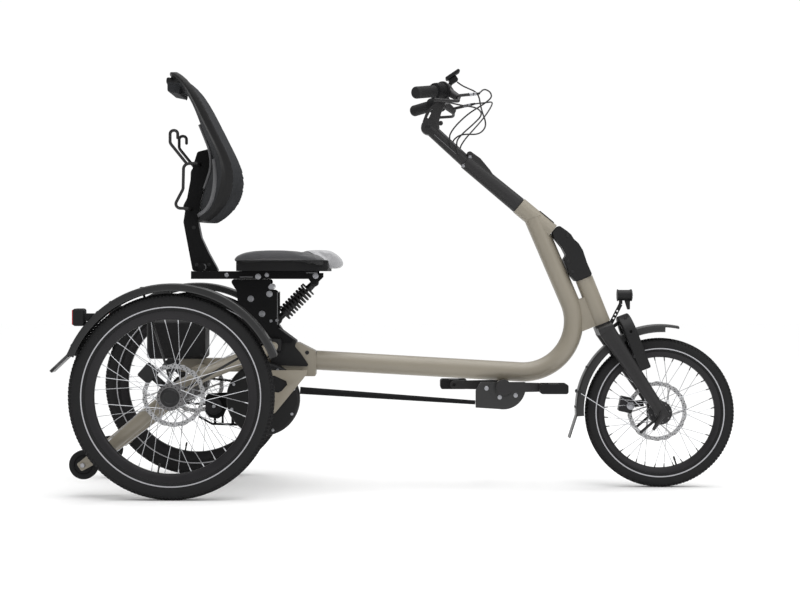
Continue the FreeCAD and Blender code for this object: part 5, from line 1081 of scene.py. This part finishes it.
class TRIKE_OT_trims(bpy.types.Operator):
    """Front fender stays, slot strips, spacer tube, cover plate, brackets and the painted highlight lines
    along the stem's edges
    """
    bl_idname = "trike.trims"
    bl_label = "Stays and trims"

    def execute(self, context):
        bm = bmesh.new()
        for way in WAYS:
            side = Y * way
            foot, knob = Vector((0.79, way * STAY_ASIDE, 0.19)), Vector((0.5885, way * 0.036, 0.319))
            bends = [foot + (knob - foot) * share for share in (0.0, 0.3, 0.7, 1.0)]
            curve_mesh(bm, [foot + Vector((0.006, 0, -0.004))] + bends, 1.4)
            paint(bm, 0)
            pin(bm, knob, side, -7, 4, 7.5, 6.8)
            pin(bm, foot, side, -4, 3, 5.5)
            run = FRONT_HUB + side * STAY_ASIDE - foot
            turn = Matrix.Rotation(-math.atan2(run.z, run.x), 4, "Y")
            box(bm, foot + run / 2, (run.length / MM, 3, 9), turn, 1)
            paint(bm, 1)
        finish_mesh("front_fender_stays", bm, "fork", ["wire", "dark"])
        bm = bmesh.new()
        pin(bm, Vector((-0.44, 0, 0.672)), Y, -46, 46, 9.5, None, 24)
        for side in WAYS:
            for way in WAYS:
                bolt(bm, ROLLER_AXLE + Y * (side * ROLLER_ASIDE + way * 0.0235), Y * way, 7.5, 6)
        paint(bm, 0)
        for way in WAYS:
            for (x, y, z), size in STRIPS:
                box(bm, Vector((x, way * y, z)), size, None, 0.5)
            paint(bm, 1)
            box(bm, Vector((-0.427, way * 0.056, 0.4775)), (50, 30, 49), None, 11, 3)
            paint(bm, 2)
            plate(bm, SHOCK_BRACKET, way * 19, way * 23, 0.8)
            paint(bm, 3)
        up = Vector((0.637, 0, 0.77))
        turn = Matrix.Rotation(math.atan2(up.x, up.z), 4, "Y")
        ray = (Vector((0.487, 0, 0.911)) + up * 0.2, -up)
        for hit in traced(surface_tree(frame["nodes"]["main_tube"]), [ray], -0.4):
            box(bm, hit, (62, 22, 4.4), turn, 1.4)
        paint(bm, 2)
        finish_mesh("frame_trims", bm, "frame", ["zinc", "strip", "plastic", "plate"])
        # bracket that holds the drive cover: an open plate, welded to the rear frame by two short spacers
        bm = bmesh.new()
        plate(bm, COVER_BRACKET, -94.5, -90.5, 0.8)
        plate(bm, BRACKET_BACK, -94, -91, 0.6)
        rays = [(Vector((x, -BESIDE, 0.388)), Y) for x in (-0.334, -0.44)]
        for hit in traced(surface_tree(frame["nodes"]["rear_frame"]), rays, -2):
            rod(bm, Vector((hit.x, -0.092, hit.z)), hit, 7.5)
        finish_mesh("drive_cover_bracket", bm, "frame", ["paint"])
        # pale lines along the stem's arm: painted highlights on its edges
        bm = bmesh.new()
        stem = surface_tree(frame["nodes"]["stem"])
        for way in WAYS:
            for low, high in (((0.118, 1.199), (0.196, 1.127)), ((0.105, 1.181), (0.178, 1.116))):
                places = [[a + (b - a) * step / 6 for a, b in zip(low, high)] for step in range(7)]
                rays = [(Vector((x, way * BESIDE, z)), Y * -way) for x, z in places]
                curve_mesh(bm, traced(stem, rays), 1.1)
        finish_mesh("stem_painted_highlight_lines", bm, "handlebar", ["strip"])
        return {"FINISHED"}


# Screws: node whose side they sit on, (x, z) in mm, radius and height, sides, look

SCREWS = (
    ("frame_screws", "frame", (
        ("seat_rail", ((-481, 706), (-290, 708)), 7.2, 3.0, WAYS, 0),
        ("seat_rail", ((-585.5, 711), (-452.2, 711)), 5.4, 2.6, WAYS, 0),
        ("seat_plates", ((-444.6, 648), (-507.2, 632), (-469.5, 581.8)), 7.8, 3.6, WAYS, 0),
        ("seat_plates", ((-439.6, 557.8),), 4.0, 2.0, WAYS, 0),
        ("drive_cover", [(-464 + 108 * polar(angle).x, 300 + 108 * polar(angle).z)
                         for angle in range(-27, 333, 45)], 3.7, 2.2, (-1,), 0),
        ("chain_guard", ((278, 333.4), (322, 303.8), (375, 310)), 5.5, 2.0, (-1,), 0),
        ("steering_cover", ((549.6, 843), (552, 757), (566, 722)), 4.5, 1.6, WAYS, 1),
        ("backrest_post", ((-690, 745), (-650, 745), (-700, 870)), 5.0, 2.4, WAYS, 1),
        ("battery", ((-840, 445), (-668, 445)), 4.0, 1.6, WAYS, 1),
        ("rear_frame", ((-320, 452), (-372, 438)), 5.0, 2.2, WAYS, 1))),
    ("fork_screws", "fork", (
        ("ring_lock", ((742.9, 565.7), (768, 440)), 4.2, 1.8, WAYS, 1),
        ("fork", ((862, 250),), 9.5, 4.0, (1,), 0),
        ("front_caliper", ((770, 269),), 10.0, 3.0, (-1,), 0))),
    ("bar_screws", "handlebar", (
        ("riser", ((224.8, 1106), (203, 1077)), 4.4, 2.2, WAYS, 0),
        ("stem", ((86.1, 1206.6),), 8.5, 2.6, WAYS, 1))),
)


class TRIKE_OT_screws(bpy.types.Operator):
    """Screws with washers on plates, covers, lock and clamps"""
    bl_idname = "trike.screws"
    bl_label = "Screws"

    def execute(self, context):
        for name, body, table in SCREWS:
            bm = bmesh.new()
            for node, spots, radius, height, ways, look in table:
                tree = surface_tree(frame["nodes"][node])
                for way in ways:
                    side = Y * way
                    rays = [(Vector((x * MM, way * BESIDE, z * MM)), -side) for x, z in spots]
                    for hit in traced(tree, rays):
                        washer = [(radius * 1.35, -0.4), (radius * 1.35, 0.8), (radius * 1.28, 1.2),
                                  (0, 1.2)]
                        lathe(bm, washer, hit, side, 24)
                        bolt(bm, hit + side * MM, side, radius, height)
                paint(bm, look)
            finish_mesh(name, bm, body, ["zinc", "dark"])
        return {"FINISHED"}


# Controls

COLLAR = [(11.2, 0), (28.8, 0), (30, 1.2), (30, 6.8), (28.8, 8), (26.2, 8.5)]
COLLAR += [(reach, 9.5 + rib * 3.7 + along) for rib in range(9)
           for reach, along in ((26.5, 0), (26.5, 2.4), (25.6, 2.8), (25.6, 3.4))]
COLLAR += [(26, 44.6), (22.6, 45.2), (22.6, 48.6), (19.6, 49.2)]
GRIP = [(19.6, 48.8)]
GRIP += [(reach, 51 + rib * 5.8 + along) for rib in range(13)
         for reach, along in ((19.5, 0), (19.5, 3.8), (18.7, 4.3), (18.7, 5.2))]
GRIP += [(19.5, 127.5), (19.8, 130), (19.5, 134.5), (17.8, 138), (0, 139.2)]
ADJUSTER = ((2.8, -30), (5.6, -30), (5.8, -28), (5.8, -16), (4.8, -15.5), (4.8, -12), (5.6, -11.5), (5.6, -3),
            (5.2, -1), (2.8, 0))
CABLE_BOOT = ((2.8, -1), (4.4, -1), (4.4, 3), (3.4, 14), (2.8, 16))


class TRIKE_OT_controls(bpy.types.Operator):
    """Ribbed grips with twist collars, cable adjusters, and the display's glass and keys"""
    bl_idname = "trike.controls"
    bl_label = "Grips and display"

    def execute(self, context):
        bm = bmesh.new()
        for side in WAYS:
            inner = Vector((0.1312, side * 0.2051, 1.3088))
            away = Vector((-0.67271, side * 0.72853, -0.12925))
            for look, profile in ((1, COLLAR), (0, GRIP)):
                lathe(bm, profile, inner, away, 40)
                paint(bm, look)
        stand_in("ribbed_grips", bm, "grips", ["rubber", "nylon"], 30, 1e-5)
        bm = bmesh.new()
        for side in WAYS:
            end, run = Vector((0.2374, side * 0.1744, 1.3012)), Vector((69, -side * 49, 12))
            lathe(bm, ADJUSTER, end, run, 20)
            paint(bm, 0)
            lathe(bm, CABLE_BOOT, end, run, 16)
            paint(bm, 1)
        along, face = Vector((0.82904, 0, 0.55919)), Vector((-0.55919, 0, 0.82904))
        turn = Matrix((along, Y, face)).transposed().to_4x4()
        centre = Vector((0.16714, 0, 1.383))
        box(bm, centre + face * 0.0053, (46, 54, 1), turn, 0.4)
        paint(bm, 2)
        for y in (-18, -6, 6, 18):
            box(bm, centre + (face * 5.5 - along * 24.3 + Y * y) * MM, (2.6, 8, 1.2), turn, 0.4)
        paint(bm, 1)
        finish_mesh("adjusters_and_glass", bm, "handlebar", ["zinc", "rubber", "glass"], 30)
        return {"FINISHED"}


class TRIKE_OT_lamps(bpy.types.Operator):
    """Headlamp reflector and lens, and the tail lamps' red lenses"""
    bl_idname = "trike.lamps"
    bl_label = "Lamps"

    def execute(self, context):
        bm = bmesh.new()
        reflector = ((0, -0.8), (6, -0.6), (17.2, 0.2), (17.2, -1))
        lens = ((0, 1.2), (8, 0.9), (14.5, 0), (16.8, -1.2), (17.2, -3))
        for look, x, profile in ((0, 0.7692, reflector), (1, 0.771, lens)):
            lathe(bm, profile, Vector((x, 0, 0.643)), X, 40)
            paint(bm, look)
        finish_mesh("headlamp_lens", bm, "fork", ["zinc", "clear"], 40)
        bm = bmesh.new()
        for side in WAYS:
            box(bm, Vector((-1.0392, side * HALF_TRACK, 0.5775)), (5.8, 50, 47), None, 2.2, 3)
        finish_mesh("tail_lamp_lenses", bm, "frame", ["red"], 40)
        return {"FINISHED"}


ROLLER_TYRE = ((31, -10.5), (40.5, -12.8), (44.5, -12), (46.4, -9.5), (46.9, -8.2), (45.8, -7.2),
               (45.8, -4.8), (46.9, -3.8), (46.9, -2.2), (45.8, -1.2))
ROLLER_HUB = ((6.2, -12.5), (11, -12.5), (13, -8.5), (28, -7.5), (31.2, -10.8))


class TRIKE_OT_rollers(bpy.types.Operator):
    """Tail rollers with grooved tyres and hubs"""
    bl_idname = "trike.rollers"
    bl_label = "Tail rollers"

    def execute(self, context):
        for name, side in SIDES:
            centre = ROLLER_AXLE + Y * side * ROLLER_ASIDE
            bm = bmesh.new()
            lathe(bm, mirrored(ROLLER_TYRE), centre, Y, 64)
            paint(bm, 0)
            lathe(bm, mirrored(ROLLER_HUB, True), centre, Y, 40)
            paint(bm, 1)
            stand_in("roller_%s_grooved" % name, bm, "roller_" + name, ["tyre", "nylon"])
        return {"FINISHED"}


class TRIKE_OT_finishes(bpy.types.Operator):
    """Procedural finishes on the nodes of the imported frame"""
    bl_idname = "trike.finishes"
    bl_label = "Finishes of the frame"

    def execute(self, context):
        make_looks(settings()[0])
        for name, node in frame["nodes"].items():
            for slot in node.material_slots:
                slot.material = LOOKS[NODE_LOOK[name]]
        return {"FINISHED"}


class TRIKE_PT_panel(bpy.types.Panel):
    """Colours, sizes and pieces of the trike"""
    bl_idname = "TRIKE_PT_panel"
    bl_label = "Trike"
    bl_space_type = "VIEW_3D"
    bl_region_type = "UI"
    bl_category = "Trike"

    def draw(self, context):
        for group in settings():
            for key in group.__annotations__:
                self.layout.prop(group, key)
        for operator in OPERATORS:
            self.layout.operator(operator.bl_idname)


OPERATORS = (
    TRIKE_OT_finishes, TRIKE_OT_stage, TRIKE_OT_cables, TRIKE_OT_tyres, TRIKE_OT_wheels, TRIKE_OT_rounded,
    TRIKE_OT_fenders, TRIKE_OT_cushion, TRIKE_OT_backrest, TRIKE_OT_shock, TRIKE_OT_second_drive,
    TRIKE_OT_trims, TRIKE_OT_screws, TRIKE_OT_controls, TRIKE_OT_lamps, TRIKE_OT_rollers)
CLASSES = (TrikeColours, TrikeSizes, TRIKE_PT_panel) + OPERATORS


def register():
    for cls in CLASSES:
        bpy.utils.register_class(cls)
    bpy.types.Scene.trike_colours = bpy.props.PointerProperty(type=TrikeColours)
    bpy.types.Scene.trike_sizes = bpy.props.PointerProperty(type=TrikeSizes)


def unregister():
    del bpy.types.Scene.trike_colours, bpy.types.Scene.trike_sizes
    for cls in reversed(CLASSES):
        bpy.utils.unregister_class(cls)


def main():
    register()
    for operator in OPERATORS:
        group, name = operator.bl_idname.split(".")
        getattr(getattr(bpy.ops, group), name)()


if __name__ == "__main__":
    main()
